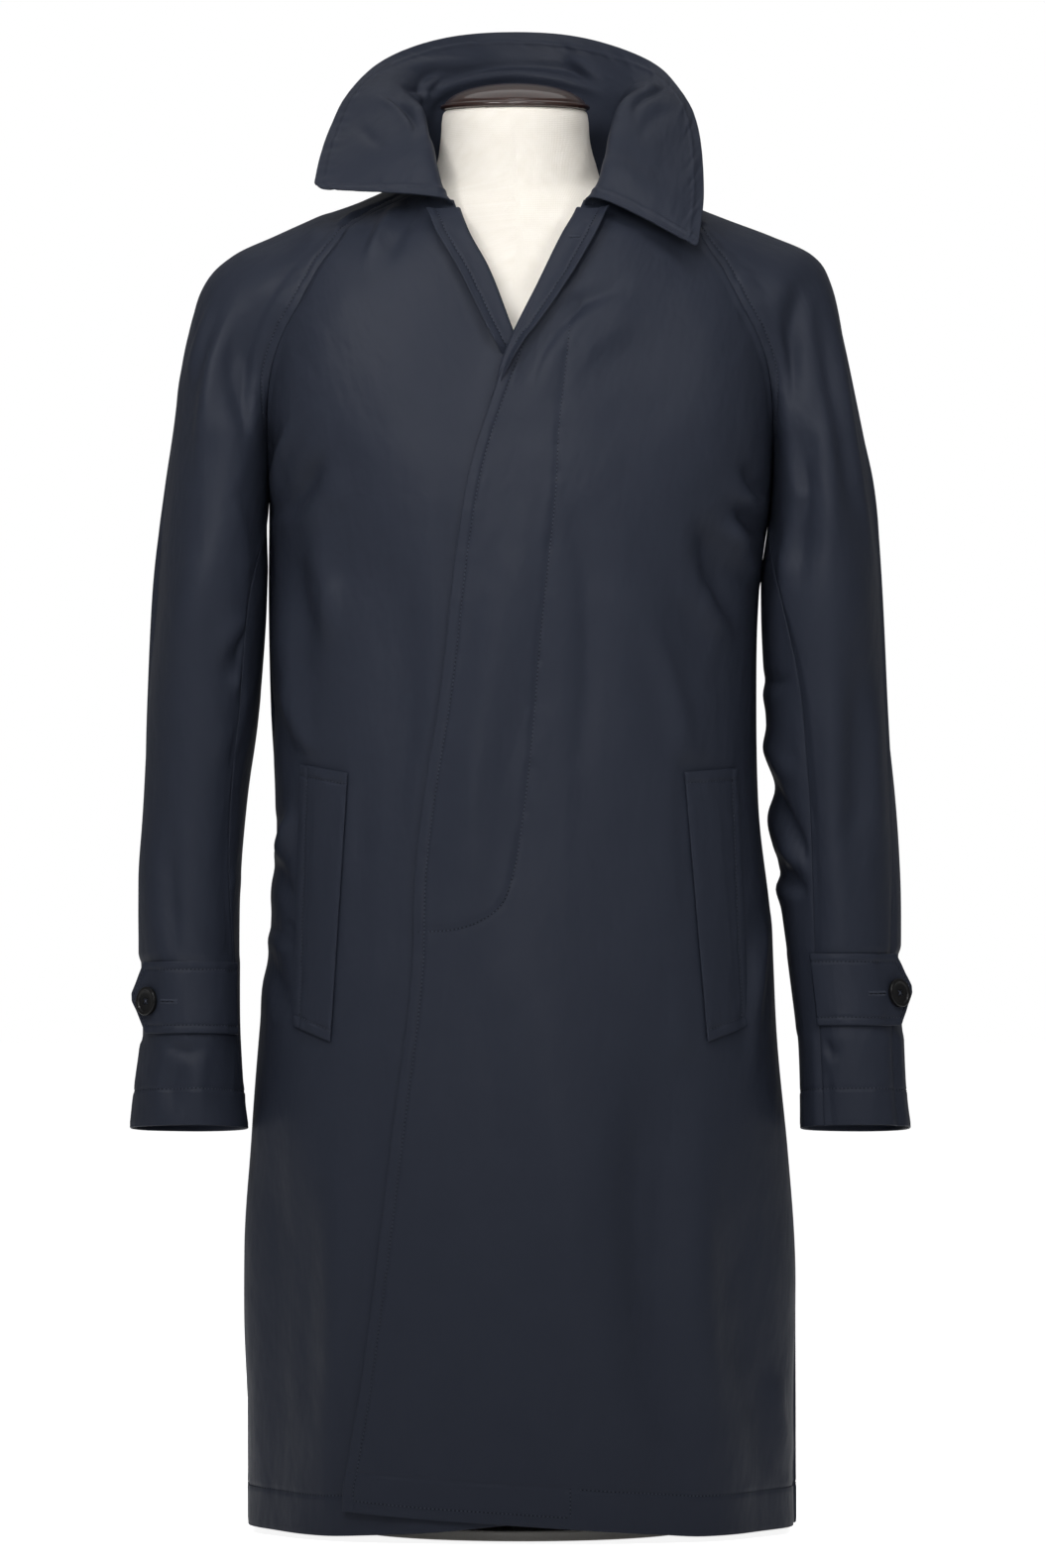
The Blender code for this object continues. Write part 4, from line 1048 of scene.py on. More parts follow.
def station_at(z):
    """Sleeve station of a height below the armpit."""
    stations = np.linspace(ARMPIT_STATION, CUFF_STATION, STATION_POINTS)
    heights = arm("z", stations, ARMPIT_Z)
    return np.interp(-np.asarray(z), -heights, stations)


def strap_line(side, z, turn):
    """A level line of the strap on the sleeve, standing clear of it, and its tangents."""
    step = 0.01
    station = station_at(z)
    point = sleeve_point(side, station, turn)
    after = sleeve_point(side, station, turn - step)
    tangent = after - point
    tangent[..., 2] = 0
    tangent /= np.linalg.norm(tangent, axis=-1, keepdims=True)
    outward = np.stack([tangent[..., 1], -tangent[..., 0], tangent[..., 2]], -1) * side
    return point + outward * (LYING_GAP + TRIM_CLOTH), tangent


def strap_grid(side, on_sleeve, on_end, shares):
    """Points of a cuff strap: it follows the sleeve, then its pointed end runs straight on."""
    size = STRAP[side]
    turns = np.radians(np.linspace(size["start"], size["leave"], on_sleeve))
    leave, tangent = strap_line(side, size["z"], turns[-1:])
    length = (size["tip_x"] - abs(leave[0, 0])) / abs(tangent[0, 0])
    runs = np.linspace(0, length, on_end)[1:]
    to_tip = np.clip((runs - length + STRAP_POINT) / STRAP_POINT, 0, 1)
    half = np.append(np.full(on_sleeve, STRAP_HALF_WIDTH), mix(STRAP_HALF_WIDTH, STRAP_TIP_HALF, to_tip))
    turns = np.append(turns, np.full(on_end - 1, turns[-1]))
    runs = np.append(np.zeros(on_sleeve), runs)
    lines = []
    for share in shares:
        point, tangent = strap_line(side, size["z"] + half * share, turns)
        lines.append(point + tangent * runs[:, None])
    return np.stack(lines, 0)


def run_along(grid, axis):
    """Distance of each point of a grid from its first row or column."""
    steps = np.linalg.norm(np.diff(grid, axis=axis), axis=-1)
    first = np.zeros_like(np.take(steps, [0], axis=axis))
    return np.concatenate([first, np.cumsum(steps, axis=axis)], axis=axis)


def places(near, far, between, length):
    """Distances along a length: fixed ones from its start and its end, and even ones between."""
    fit = min(1.0, FIXED_MOST * length / (near[-1] + far[-1] + 1e-9))
    near = np.array(near) * fit
    far = np.array(far) * fit
    middle = np.linspace(near[-1], length - far[-1], between + 2)[1:-1]
    return np.concatenate([near, middle, length - far[::-1]])


def paced_grid(make, rows, reach, near, far, between, cut=None):
    """A grid whose columns keep fixed distances from its two sides, cut short at the far one, and its
    shares of the reach. make gives points for rows and shares."""
    coarse = np.linspace(*reach, COARSE_COLUMNS)
    runs = run_along(make(rows, coarse), 1)
    lengths = runs[:, -1] - (0 if cut is None else cut)
    shares = np.array([np.interp(places(near, far, between, length), run, coarse)
                       for run, length in zip(runs, lengths)])
    return make(rows, shares), shares


def creases(rows, across, up):
    """Relief of soft folds, each along a bowed line, with a hollow on its lee side."""
    total = np.zeros(across.shape)
    for x, z, to_x, to_z, width, depth, bow in zip(*rows.values()):
        run = math.hypot(to_x - x, to_z - z)
        ahead = ((across - x) * (to_x - x) + (up - z) * (to_z - z)) / run ** 2
        aside = ((across - x) * (to_z - z) - (up - z) * (to_x - x)) / run
        place = (aside - 4 * bow * ahead * (1 - ahead)) / width
        shape = np.exp(-(place ** 2)) - LEE_SHARE * np.exp(-(((place - LEE_PLACE) / LEE_WIDTH) ** 2))
        total += depth * shape * ease(*FOLD_RISES, ahead) * (1 - ease(*FOLD_FADES, ahead))
    return total


def drape(across, up, phase):
    """Slow uneven waves of hanging cloth."""
    total = np.zeros(across.shape)
    for wide, tall, shift, height in zip(*DRAPE.values()):
        total += height * np.sin(2 * math.pi * (across / wide + up / tall) + shift + phase)
    return total


def puckers(along):
    """Uneven little waves along a row of stitches, about -1 to 1."""
    total = np.zeros(along.shape)
    for length, phase, share in zip(*PUCKERS.values()):
        total += share * np.sin(2 * math.pi * along / length + phase + np.sin(along / length / 3))
    return total


def stitch_pull(distance, along):
    """Relief beside a row of stitches: its groove and the puckers on both sides."""
    groove = -GROOVE_DEPTH * np.exp(-((distance / GROOVE_HALF) ** 2))
    return groove + PUCKER * puckers(along) * np.exp(-((distance / PUCKER_REACH) ** 2))


def sewn_edge(from_edge, along, inset):
    """Relief of a folded edge that is stitched down: a swell out to the fold, and the stitches' pull."""
    swell = SWELL * np.sin(math.pi * np.clip(from_edge / inset, 0, 1))
    return swell + stitch_pull(from_edge - inset, along)


def sewn_ends(panel, inset):
    """Relief of a piece whose first and last rows are folded edges."""
    return sewn_edge(panel.foot, panel.start, inset) + sewn_edge(panel.head, panel.start, inset)


def end_lines(panel, inset, skip):
    """Lines for stitches along a piece's first and last rows."""
    return [panel.inset_line(border, inset, skip) for border in ("foot", "head")]


def seam_roll(from_seam, z):
    """Relief of an edge that turns in to a seam, except where sleeve and body lie face to face."""
    rolled = 1 - window(*FACE_TO_FACE, FACE_FADE, z)
    return -SEAM_DEPTH * np.exp(-((from_seam / SEAM_HALF) ** 2)) * rolled


def line_distance(line_x, line_z, x, z):
    """Distance of points from a line of points in x and z, and how far along it they are."""
    nearest = np.full(x.shape, np.inf)
    along = np.zeros(x.shape)
    run = 0.0
    for ax, az, bx, bz in zip(line_x, line_z, line_x[1:], line_z[1:]):
        length = math.hypot(bx - ax, bz - az)
        share = np.clip(((x - ax) * (bx - ax) + (z - az) * (bz - az)) / length ** 2, 0, 1)
        distance = np.hypot(x - mix(ax, bx, share), z - mix(az, bz, share))
        along = np.where(distance < nearest, run + share * length, along)
        nearest = np.minimum(nearest, distance)
        run += length
    return nearest, along


def smooth_line(rows, first, second, count):
    """A smooth line of points through two columns of a table."""
    steps = np.hypot(np.diff(rows[first]), np.diff(rows[second]))
    run = np.concatenate([[0], np.cumsum(steps)])
    at = np.linspace(0, run[-1], count)
    return curve(run, rows[first], at), curve(run, rows[second], at)


class Panel:
    """A cloth piece: its grid of outer points, the distances to its borders, and its shell."""

    def __init__(self, name, grid, outward):
        self.name = name
        self.grid = grid
        self.outward = outward
        self.start = run_along(grid, 1)
        self.end = self.start[:, -1:] - self.start
        self.foot = run_along(grid, 0)
        self.head = self.foot[-1:] - self.foot
        self.x = grid[..., 0]
        self.z = grid[..., 2]

    def build(self, wall, relief, material):
        """Make the closed shell: two faces that close up to a rounded rim."""
        normal = grid_normals(self.grid) * self.outward
        heart = self.grid + normal * (relief - wall / 2)[..., None]
        normal = grid_normals(heart) * self.outward
        rim = np.minimum(np.minimum(self.start, self.end), np.minimum(self.foot, self.head))
        short = 1 - np.clip(rim / RIM_ROUND, 0, 1)
        half = wall / 2 * np.maximum(np.sqrt(1 - short ** 2), RIM_LEAST)[..., None]
        self.outer = heart + normal * half
        self.normal = normal
        points = np.concatenate([self.outer.reshape(-1, 3), (heart - normal * half).reshape(-1, 3)])
        weave = np.tile(np.stack([self.start, self.foot], -1).reshape(-1, 2), (2, 1))
        self.thing = add_mesh(self.name, points, self.faces().tolist(), material, weave)
        return self.thing

    def quads(self):
        """Corner numbers of the outer face's quads."""
        number = np.arange(self.x.size).reshape(self.x.shape)
        corners = [number[:-1, :-1], number[:-1, 1:], number[1:, 1:], number[1:, :-1]]
        return np.stack(corners, -1).reshape(-1, 4)

    def faces(self):
        """Corner numbers of both faces and the rim, all facing outward."""
        number = np.arange(self.x.size).reshape(self.x.shape)
        rim = np.concatenate([number[0, :-1], number[:-1, -1], number[-1, :0:-1], number[:0:-1, 0]])
        after = np.roll(rim, -1)
        behind = self.x.size
        sides = np.stack([after, rim, rim + behind, after + behind], -1)
        quads = self.quads()
        faces = np.concatenate([quads, quads[:, ::-1] + behind, sides])
        return faces if self.outward > 0 else faces[:, ::-1]

    def trace(self, rows, columns):
        """Points and normals at places between the grid's rows and columns."""
        row = np.clip(rows.astype(int), 0, self.x.shape[0] - 2)
        column = np.clip(columns.astype(int), 0, self.x.shape[1] - 2)
        up = (rows - row)[:, None]
        over = (columns - column)[:, None]
        found = []
        for field in (self.outer, self.normal):
            low = mix(field[row, column], field[row, column + 1], over)
            high = mix(field[row + 1, column], field[row + 1, column + 1], over)
            found.append(mix(low, high, up))
        return found

    def inset_line(self, border, inset, skip=(0.0, 0.0)):
        """A line that keeps its distance from a border, short of its two ends by skip."""
        distance = getattr(self, border)
        across = border in ("foot", "head")
        lines = distance.T if across else distance
        order = 1 if border in ("start", "foot") else -1
        steps = np.arange(lines.shape[1])[::order]
        inset = np.broadcast_to(inset, len(lines))
        place = np.array([np.interp(away, line[::order], steps) for away, line in zip(inset, lines)])
        count = np.arange(len(lines)) * 1.0
        points, normals = self.trace(place, count) if across else self.trace(count, place)
        run = np.concatenate([[0], np.cumsum(np.linalg.norm(np.diff(points, axis=0), axis=1))])
        kept = (run >= skip[0]) & (run <= run[-1] - skip[1])
        return points[kept], normals[kept]

    def front_line(self, x, z):
        """A line through places in x and z, laid on the shell from the front."""
        tree = BVHTree.FromPolygons(self.outer.reshape(-1, 3).tolist(), self.quads().tolist())
        hits = [tree.ray_cast(Vector((a, -1, b)), Vector((0, 1, 0))) for a, b in zip(x, z)]
        hits = [hit for hit in hits if hit[0] is not None]
        points = np.array([hit[0] for hit in hits])
        normals = np.array([hit[1] for hit in hits])
        return points, normals * -np.sign(normals[:, 1:2])


def add_mesh(name, points, faces, material, weave=None):
    """A smooth-shaded mesh object from arrays, with its weave's coordinates in metres."""
    mesh = bpy.data.meshes.new(name)
    mesh.from_pydata(points.tolist(), [], faces)
    if weave is not None:
        corner = np.zeros(len(mesh.loops), np.int32)
        mesh.loops.foreach_get("vertex_index", corner)
        mesh.uv_layers.new(name="weave").data.foreach_set("uv", weave[corner].astype(np.float32).ravel())
    mesh.materials.append(material)
    mesh.shade_smooth()
    thing = bpy.data.objects.new(name, mesh)
    bpy.context.scene.collection.objects.link(thing)
    return thing


def threads(name, centres, tangents, normals, length, radius, material):
    """Short threads as one mesh: three rings of four points each, the ends sunk into the cloth."""
    tangents = tangents / np.linalg.norm(tangents, axis=1, keepdims=True)
    asides = np.cross(normals, tangents)
    rings = []
    for along, size, lift in THREAD_RINGS:
        middle = centres + tangents * along * length + normals * lift * radius
        for over, up in ((1, 0), (0, 1), (-1, 0), (0, -1)):
            rings.append(middle + (asides * over + normals * up) * size * radius)
    points = np.stack(rings, 1)
    one = []
    for low in (0, 4):
        one += [(low + k, low + (k + 1) % 4, low + 4 + (k + 1) % 4, low + 4 + k) for k in range(4)]
    one += [(3, 2, 1, 0), (8, 9, 10, 11)]
    faces = np.array(one)[None] + (np.arange(len(points)) * points.shape[1])[:, None, None]
    return add_mesh(name, points.reshape(-1, 3), faces.reshape(-1, 4).tolist(), material)


def stitch_row(points, normals, pitch):
    """Centres, tangents and normals of stitches at a pitch along a line."""
    run = np.concatenate([[0], np.cumsum(np.linalg.norm(np.diff(points, axis=0), axis=1))])
    at = np.arange(pitch / 2, run[-1], pitch)

    def along(field, where):
        return np.stack([np.interp(where, run, field[:, k]) for k in range(3)], -1)

    facing = along(normals, at)
    facing /= np.linalg.norm(facing, axis=1, keepdims=True)
    return along(points, at), along(points, at + pitch / 4) - along(points, at - pitch / 4), facing


def sew(name, thread, *lines):
    """Rows of stitches along lines of points and normals, and small dark marks of painted shade for the
    needle holes half a pitch further on.
    """
    rows = [stitch_row(points, normals, STITCH_PITCH) for points, normals in lines]
    centres, tangents, normals = (np.concatenate(column) for column in zip(*rows))
    keep(threads(name, centres, tangents, normals, STITCH_LENGTH, STITCH_RADIUS, thread))
    # The needle holes are almost black marks of painted shade
    hole = bpy.data.materials["painted_hole_shade"]
    keep(threads(f"{name}_holes", centres + tangents, tangents, normals, NEEDLE_LENGTH, NEEDLE_RADIUS, hole))


def keep(thing, *nodes, slot=None):
    """Let a piece ride on the part, in the place of the nodes that it stands for."""
    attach(thing, "root")
    if nodes:
        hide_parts(*nodes)
    return thing


def window(low, high, soft, value):
    """1 between low and high, fading to 0 over soft on either side."""
    return ease(low - soft, low, value) * (1 - ease(high, high + soft, value))


def body_rows():
    """Row places of a body panel, closest at its hem and closer above the hips: 0 hem, 1 armpit, 2 neck."""
    high = ARMPIT_Z - HEM_Z
    skirt = places(HEM_STEPS, (0.0,), SKIRT_ROWS, HIP_Z - HEM_Z)
    waist = places((0.0,), (0.0,), WAIST_ROWS, ARMPIT_Z - HIP_Z) + HIP_Z - HEM_Z
    yoke_high = NOTCH_Z - ARMPIT_Z
    above = places((0.0,), RIM_STEPS, CHEST_ROWS, yoke_high) / yoke_high
    return np.concatenate([skirt / high, waist[1:] / high, 1 + above[1:]])


def front_panel(side):
    """A front's grid: fine columns at its edge and, on the left front, at the fly's stitches."""
    near = EDGE_STEPS + (FLY_STEPS if side == LEFT else ())
    grid, _ = paced_grid(lambda rows, share: front_grid(side, rows, share), body_rows(),
                         (0.0, 1 + BODY_LAP), near, SEAM_STEPS, FRONT_COLUMNS[side])
    return Panel("front_left_cloth" if side == LEFT else "front_right_cloth", grid, side)


def hem_relief(panel):
    """Relief of the turned-up hem of a body panel."""
    lift = HEM_RISE * window(HEM_FOLD, HEM_INSET - HEM_SOFT, HEM_SOFT, panel.foot)
    return lift + stitch_pull(panel.foot - HEM_INSET, panel.start)


def fly_relief(panel, line):
    """Relief of the fly: a double layer between the edge and its line of stitches."""
    distance, along = line_distance(*line, panel.x, panel.z)
    line_x, line_z = line
    fly_x = np.interp(panel.z, line_z[::-1], line_x[::-1])
    inside = ease(0, FLY_FADE, fly_x - panel.x) * ease(line_z[-1], line_z[-1] + FLY_FADE, panel.z)
    return FLY_RISE * inside * ease(0, FLY_STITCH_FADE, distance) + stitch_pull(distance, along)


def front_relief(panel, side, fly_line):
    """All the relief of a front: creases, drape, seams, hem, sewn edge and fly."""
    soft = FOLD_DEPTH * creases(FRONT_CREASES[side], panel.x, panel.z) + drape(panel.x, panel.z, side)
    soft *= ease(0, SIDE_FADE, panel.end) * ease(0, NECK_FADE, panel.head)
    inner, _, outer, head = POCKET[side]["top"]
    foot = POCKET[side]["foot"][1]
    under_welt = window(inner, outer, WELT_FADE[0], side * panel.x)
    under_welt = under_welt * window(foot, head, WELT_FADE[1], panel.z)
    soft *= 1 - under_welt
    if side == LEFT:
        soft = np.maximum(soft, -mix(OVERLAP_GIVE, FREE_GIVE, ease(*OVERLAP_FREE_X, panel.x)))
        below_v = 1 - ease(V_FOOT_Z, V_FOOT_Z + V_FADE, panel.z)
        soft += sewn_edge(panel.start, panel.foot, EDGE_INSET) * below_v + fly_relief(panel, fly_line)
    else:
        soft *= 1 - ease(*UNDERLAP_FADE, panel.x - read(LEFT_EDGE, "x", panel.z))
    return soft + seam_roll(panel.end, panel.z) + seam_roll(panel.head, panel.z) + hem_relief(panel)


def make_fronts(cloth, thread):
    """Both fronts, their stitched edges, hems and the fly's line."""
    fly_line = smooth_line(FLY, "x", "z", FLY_POINTS)
    left = front_panel(LEFT)
    left.build(PANEL_WALL, front_relief(left, LEFT, fly_line), cloth)
    right = front_panel(RIGHT)
    right.build(PANEL_WALL, front_relief(right, RIGHT, None), cloth)
    edge = left.inset_line("start", EDGE_INSET, (EDGE_INSET, 0.0))
    edge = [part[edge[0][:, 2] < V_FOOT_Z] for part in edge]
    low = left.inset_line("foot", EDGE_INSET, (EDGE_INSET, 0.0))
    low = [part[low[0][:, 0] < HEM_STEP_X] for part in low]
    high = left.inset_line("foot", HEM_INSET, HEM_SKIP)
    high = [part[high[0][:, 0] > HEM_STEP_X] for part in high]
    step_z = np.linspace(low[0][-1, 2], high[0][0, 2], STEP_POINTS)
    step = left.front_line(np.full(STEP_POINTS, HEM_STEP_X), step_z)
    sew("front_left_stitches", thread, edge, low, step, high, left.front_line(*fly_line))
    sew("front_right_stitches", thread, right.inset_line("foot", HEM_INSET, HEM_SKIP))
    keep(left.thing, "front_left", slot="coat_cloth")
    keep(right.thing, "front_right", slot="coat_cloth")


def make_back(cloth, thread):
    """The back, with soft folds from the shoulder blades and down the skirt."""
    reach = (-1 - BODY_LAP, 1 + BODY_LAP)
    grid, _ = paced_grid(back_grid, body_rows(), reach, SEAM_STEPS, SEAM_STEPS, BACK_COLUMNS)
    panel = Panel("back_cloth", grid, -1)
    from_seam = np.minimum(panel.start, panel.end)
    soft = FOLD_DEPTH * creases(BACK_CREASES, panel.x, panel.z) + drape(panel.x, panel.z, 2.0)
    soft *= ease(0, BACK_FADE, from_seam) * ease(0, BACK_FADE, panel.head)
    relief = soft + seam_roll(from_seam, panel.z) + seam_roll(panel.head, panel.z) + hem_relief(panel)
    panel.build(PANEL_WALL, relief, cloth)
    sew("back_stitches", thread, panel.inset_line("foot", HEM_INSET))
    keep(panel.thing, "back", slot="coat_cloth")


def sleeve_stations():
    """Stations of a sleeve's rows, from the neck to close together at the cuff."""
    above = places(RIM_STEPS, (0.0,), YOKE_ROWS, YOKE_RUN) / YOKE_RUN * ARMPIT_STATION
    cuff_z = ARM["z"][-1]
    below = cuff_z + places(HEM_STEPS, (0.0,), ARM_ROWS, ARMPIT_Z - cuff_z)
    return np.concatenate([above, station_at(below[::-1])[1:]])


def settle(grid, weight, rounds):
    """Smooth a grid from row to row, as far as the weight goes from 0 to 1."""
    for _ in range(rounds):
        middle = (grid[:-2] + grid[2:]) / 2
        grid[1:-1] += weight[1:-1, :, None] * (middle - grid[1:-1])
    return grid


def sleeve_relief(panel, side, face, station, turn):
    """All the relief of a sleeve half: creases, drape, seams, topstitching and the cuff's hem."""
    soft = FOLD_DEPTH * creases(SLEEVE_CREASES[side, face], panel.x, panel.z)
    soft += drape(panel.start, panel.foot, 3 * side)
    for border, fade in SLEEVE_FADES.items():
        soft *= ease(0, fade, getattr(panel, border))
    against_body = window(*AGAINST_BODY_TURNS, AGAINST_BODY_FADE, turn)
    soft *= 1 - against_body * (1 - ease(*AGAINST_BODY_STATIONS, station))
    strap_z = STRAP[side]["z"]
    soft *= 1 - window(strap_z - STRAP_HALF_WIDTH, strap_z + STRAP_HALF_WIDTH, STRAP_FADE, panel.z)
    from_ridge = np.minimum(turn, 360 - turn)
    free = np.maximum(ease(*SHOULDER_FREE_STATIONS, station), ease(*RIDGE_FREE_TURNS, from_ridge))
    soft = np.maximum(soft, -mix(SHOULDER_GIVE, FREE_GIVE, free))
    topstitch = stitch_pull(panel.end - RAGLAN_INSET, panel.foot)
    topstitch *= ease(RAGLAN_STITCH_END - RAGLAN_FADE, RAGLAN_STITCH_END, panel.z)
    topstitch *= ease(*RAGLAN_START, panel.foot)
    hem = HEM_RISE * window(HEM_FOLD, CUFF_INSET - HEM_SOFT, HEM_SOFT, panel.head)
    hem += stitch_pull(panel.head - CUFF_INSET, panel.start)
    seams = sum(seam_roll(border, panel.z) for border in (panel.end, panel.start, panel.foot))
    return soft + topstitch + hem + seams


def make_sleeves(cloth, thread):
    """Two-piece raglan sleeves with topstitched seams and stitched cuffs."""
    reach = (SLEEVE_INSET, 1 - SLEEVE_INSET)
    stations = sleeve_stations()
    for side, word in ((LEFT, "left"), (RIGHT, "right")):
        for face, outward in (("front", side), ("back", -side)):
            grid, shares = paced_grid(lambda rows, share: sleeve_grid(side, face, rows, share), stations,
                                      reach, SEAM_STEPS, SEAM_STEPS, SLEEVE_COLUMNS)
            station = stations[:, None] + np.zeros(shares.shape)
            turn = np.degrees(sleeve_turn(side, face, station, shares)) % 360
            from_seam = np.minimum(run_along(grid, 1), run_along(grid[:, ::-1], 1)[:, ::-1])
            weight = window(*SLEEVE_ROUND_STATIONS, SLEEVE_ROUND_FADE, station)
            weight = weight * ease(*SLEEVE_ROUND_START, from_seam)
            panel = Panel(f"sleeve_{face}_{word}_cloth", settle(grid, weight, SLEEVE_ROUNDS), outward)
            panel.build(PANEL_WALL, sleeve_relief(panel, side, face, station, turn), cloth)
            raglan = panel.inset_line("end", RAGLAN_INSET, RAGLAN_SKIP)
            raglan = [part[raglan[0][:, 2] > RAGLAN_STITCH_END] for part in raglan]
            sew(f"sleeve_{face}_{word}_stitches", thread, raglan, panel.inset_line("head", CUFF_INSET))
            keep(panel.thing, f"sleeve_{face}_{word}", slot="coat_cloth")


def make_collar(cloth, thread):
    """The turned-up collar with its flared, stitched edges."""
    from_right = places(EDGE_STEPS, EDGE_STEPS, COLLAR_ROWS, COLLAR_RUN)
    along = from_right / COLLAR_RUN
    cut = corner_cut(from_right, COLLAR_ROUND[RIGHT])
    cut += corner_cut(COLLAR_RUN - from_right, COLLAR_ROUND[LEFT])
    grid, _ = paced_grid(collar_grid, along, (0.0, 1.0), RIM_STEPS, EDGE_STEPS, COLLAR_COLUMNS, cut)
    weight = window(*COLLAR_ROUND_SHARES, COLLAR_ROUND_FADE, along)[:, None]
    weight = weight * ease(*COLLAR_ROUND_START, run_along(grid, 1))
    panel = Panel("collar_cloth", settle(grid, weight, COLLAR_ROUNDS), 1)
    place = from_right[:, None] + np.zeros(panel.start.shape)
    soft = creases(COLLAR_CREASES, place, panel.start) + drape(place, panel.start, 1.0)
    soft *= ease(0, COLLAR_FADE, panel.start) * ease(0, COLLAR_FADE, panel.end)
    relief = soft + sewn_edge(panel.end, panel.foot, EDGE_INSET) + sewn_ends(panel, EDGE_INSET)
    panel.build(COLLAR_WALL, relief, cloth)
    edge = panel.inset_line("end", EDGE_INSET, (EDGE_INSET, EDGE_INSET))
    sew("collar_stitches", thread, edge, *end_lines(panel, EDGE_INSET, COLLAR_SKIP))
    keep(panel.thing, "collar", slot="coat_cloth")


def corner_cut(distance, radius):
    """How far a rounded corner draws an edge in at a distance from the corner."""
    return radius - np.sqrt(np.maximum(radius ** 2 - np.clip(radius - distance, 0, radius) ** 2, 0))


def make_facings(cloth, thread, dark):
    """The turned-back facings beside the V, the left one with a buttonhole."""
    climb = places(EDGE_STEPS, EDGE_STEPS, FACING_ROWS, FACING_RUN) / FACING_RUN
    turns = np.radians(np.linspace(*FACING_TURNS))
    shares = places((0.0,), EDGE_STEPS, FACING_COLUMNS, FACING_WIDTH) / FACING_WIDTH
    for side, word in ((LEFT, "left"), (RIGHT, "right")):
        panel = Panel(f"facing_{word}_cloth", facing_grid(side, climb, turns, shares), side)
        from_fold = panel.start - panel.start[:, FOLD_COLUMN][:, None]
        wide = ease(*FACING_WIDE, panel.end[:, FOLD_COLUMN])[:, None]
        relief = sewn_edge(panel.end, panel.foot, FACING_EDGE_INSET)
        panel.build(TRIM_WALL, wide * relief * ease(0, FACING_FOLD_FADE, from_fold), cloth)
        keep(panel.thing, f"facing_{word}", slot="coat_cloth")
        shown = panel.end[:, FOLD_COLUMN] > FACING_WIDTH / 2
        shown &= panel.head[:, FOLD_COLUMN] > FACING_SKIP
        row = [part[shown] for part in panel.inset_line("end", FACING_EDGE_INSET)]
        sew(f"facing_{word}_stitches", thread, row)
        if side == LEFT:
            buttonhole("revers_buttonhole", panel, REVERS_HOLE, thread, dark)


def buttonhole(name, panel, size, thread, dark):
    """A level worked buttonhole: a dark strip of painted shade for the slit, between two rows of close
    upright stitches.
    """
    middle, half, z = size
    x = np.linspace(middle - half, middle + half, int(2 * half / HOLE_PITCH))
    rows = [panel.front_line(x, np.full(len(x), z + shift)) for shift in (-HOLE_HALF, HOLE_HALF)]
    centres = np.concatenate([row[0] for row in rows])
    normals = np.concatenate([row[1] for row in rows])
    upright = np.tile([0.0, 0.0, 1.0], (len(centres), 1))
    keep(threads(f"{name}_stitches", centres, upright, normals, 2 * HOLE_HALF, STITCH_RADIUS, thread))
    # The slit is a row of almost black pieces: painted shade in the cut
    points, facing = panel.front_line(x, np.full(len(x), z))
    slit = stitch_row(points, facing, 2 * half / 3)
    keep(threads(f"{name}_slit", *slit, 2 * half / 3, STITCH_RADIUS, dark))


def make_welts(cloth, thread):
    """The slanted pocket welts, stitched down on three sides."""
    up = places(EDGE_STEPS, EDGE_STEPS, WELT_ROWS, WELT_RUN) / WELT_RUN
    out = places(EDGE_STEPS, EDGE_STEPS, WELT_COLUMNS, WELT_WIDTH) / WELT_WIDTH
    for side, word in ((LEFT, "left"), (RIGHT, "right")):
        panel = Panel(f"pocket_welt_{word}_cloth", welt_grid(side, up, out), side)
        relief = sewn_ends(panel, TRIM_INSET) + sewn_edge(panel.end, panel.foot, TRIM_INSET)
        relief += WELT_SWELL * window(*WELT_SWELL_RUN, WELT_SWELL_FADE, panel.start)
        panel.build(TRIM_WALL, relief, cloth)
        keep(panel.thing, f"pocket_welt_{word}", slot="coat_cloth")
        upright = panel.inset_line("end", TRIM_INSET, (TRIM_INSET, TRIM_INSET))
        sew(f"pocket_welt_{word}_stitches", thread, *end_lines(panel, TRIM_INSET, WELT_SKIP), upright)


def make_straps(cloth, thread, dark, casein):
    """The cuff straps with pointed ends, and the buttons sewn on them."""
    shares = places(EDGE_STEPS, EDGE_STEPS, STRAP_ROWS, 2 * STRAP_HALF_WIDTH) / STRAP_HALF_WIDTH - 1
    for side, word in ((LEFT, "left"), (RIGHT, "right")):
        panel = Panel(f"cuff_strap_{word}_cloth", strap_grid(side, *STRAP_COLUMNS, shares), side)
        panel.build(TRIM_WALL, sewn_ends(panel, STRAP_INSET) * ease(0, STRAP_END_FADE, panel.end), cloth)
        keep(panel.thing, f"cuff_strap_{word}", slot="coat_cloth")
        sew(f"cuff_strap_{word}_stitches", thread, *end_lines(panel, STRAP_INSET, STRAP_SKIP))
        hole = (side * (STRAP[side]["button_x"] - HOLE_FROM_BUTTON), CUFF_HOLE_HALF, STRAP[side]["z"])
        buttonhole(f"cuff_{word}_buttonhole", panel, hole, thread, dark)
        make_button(word, side, panel, casein, thread)


def deselect():
    """Leave nothing selected, so that operators act on new pieces alone."""
    bpy.ops.object.select_all(action="DESELECT")


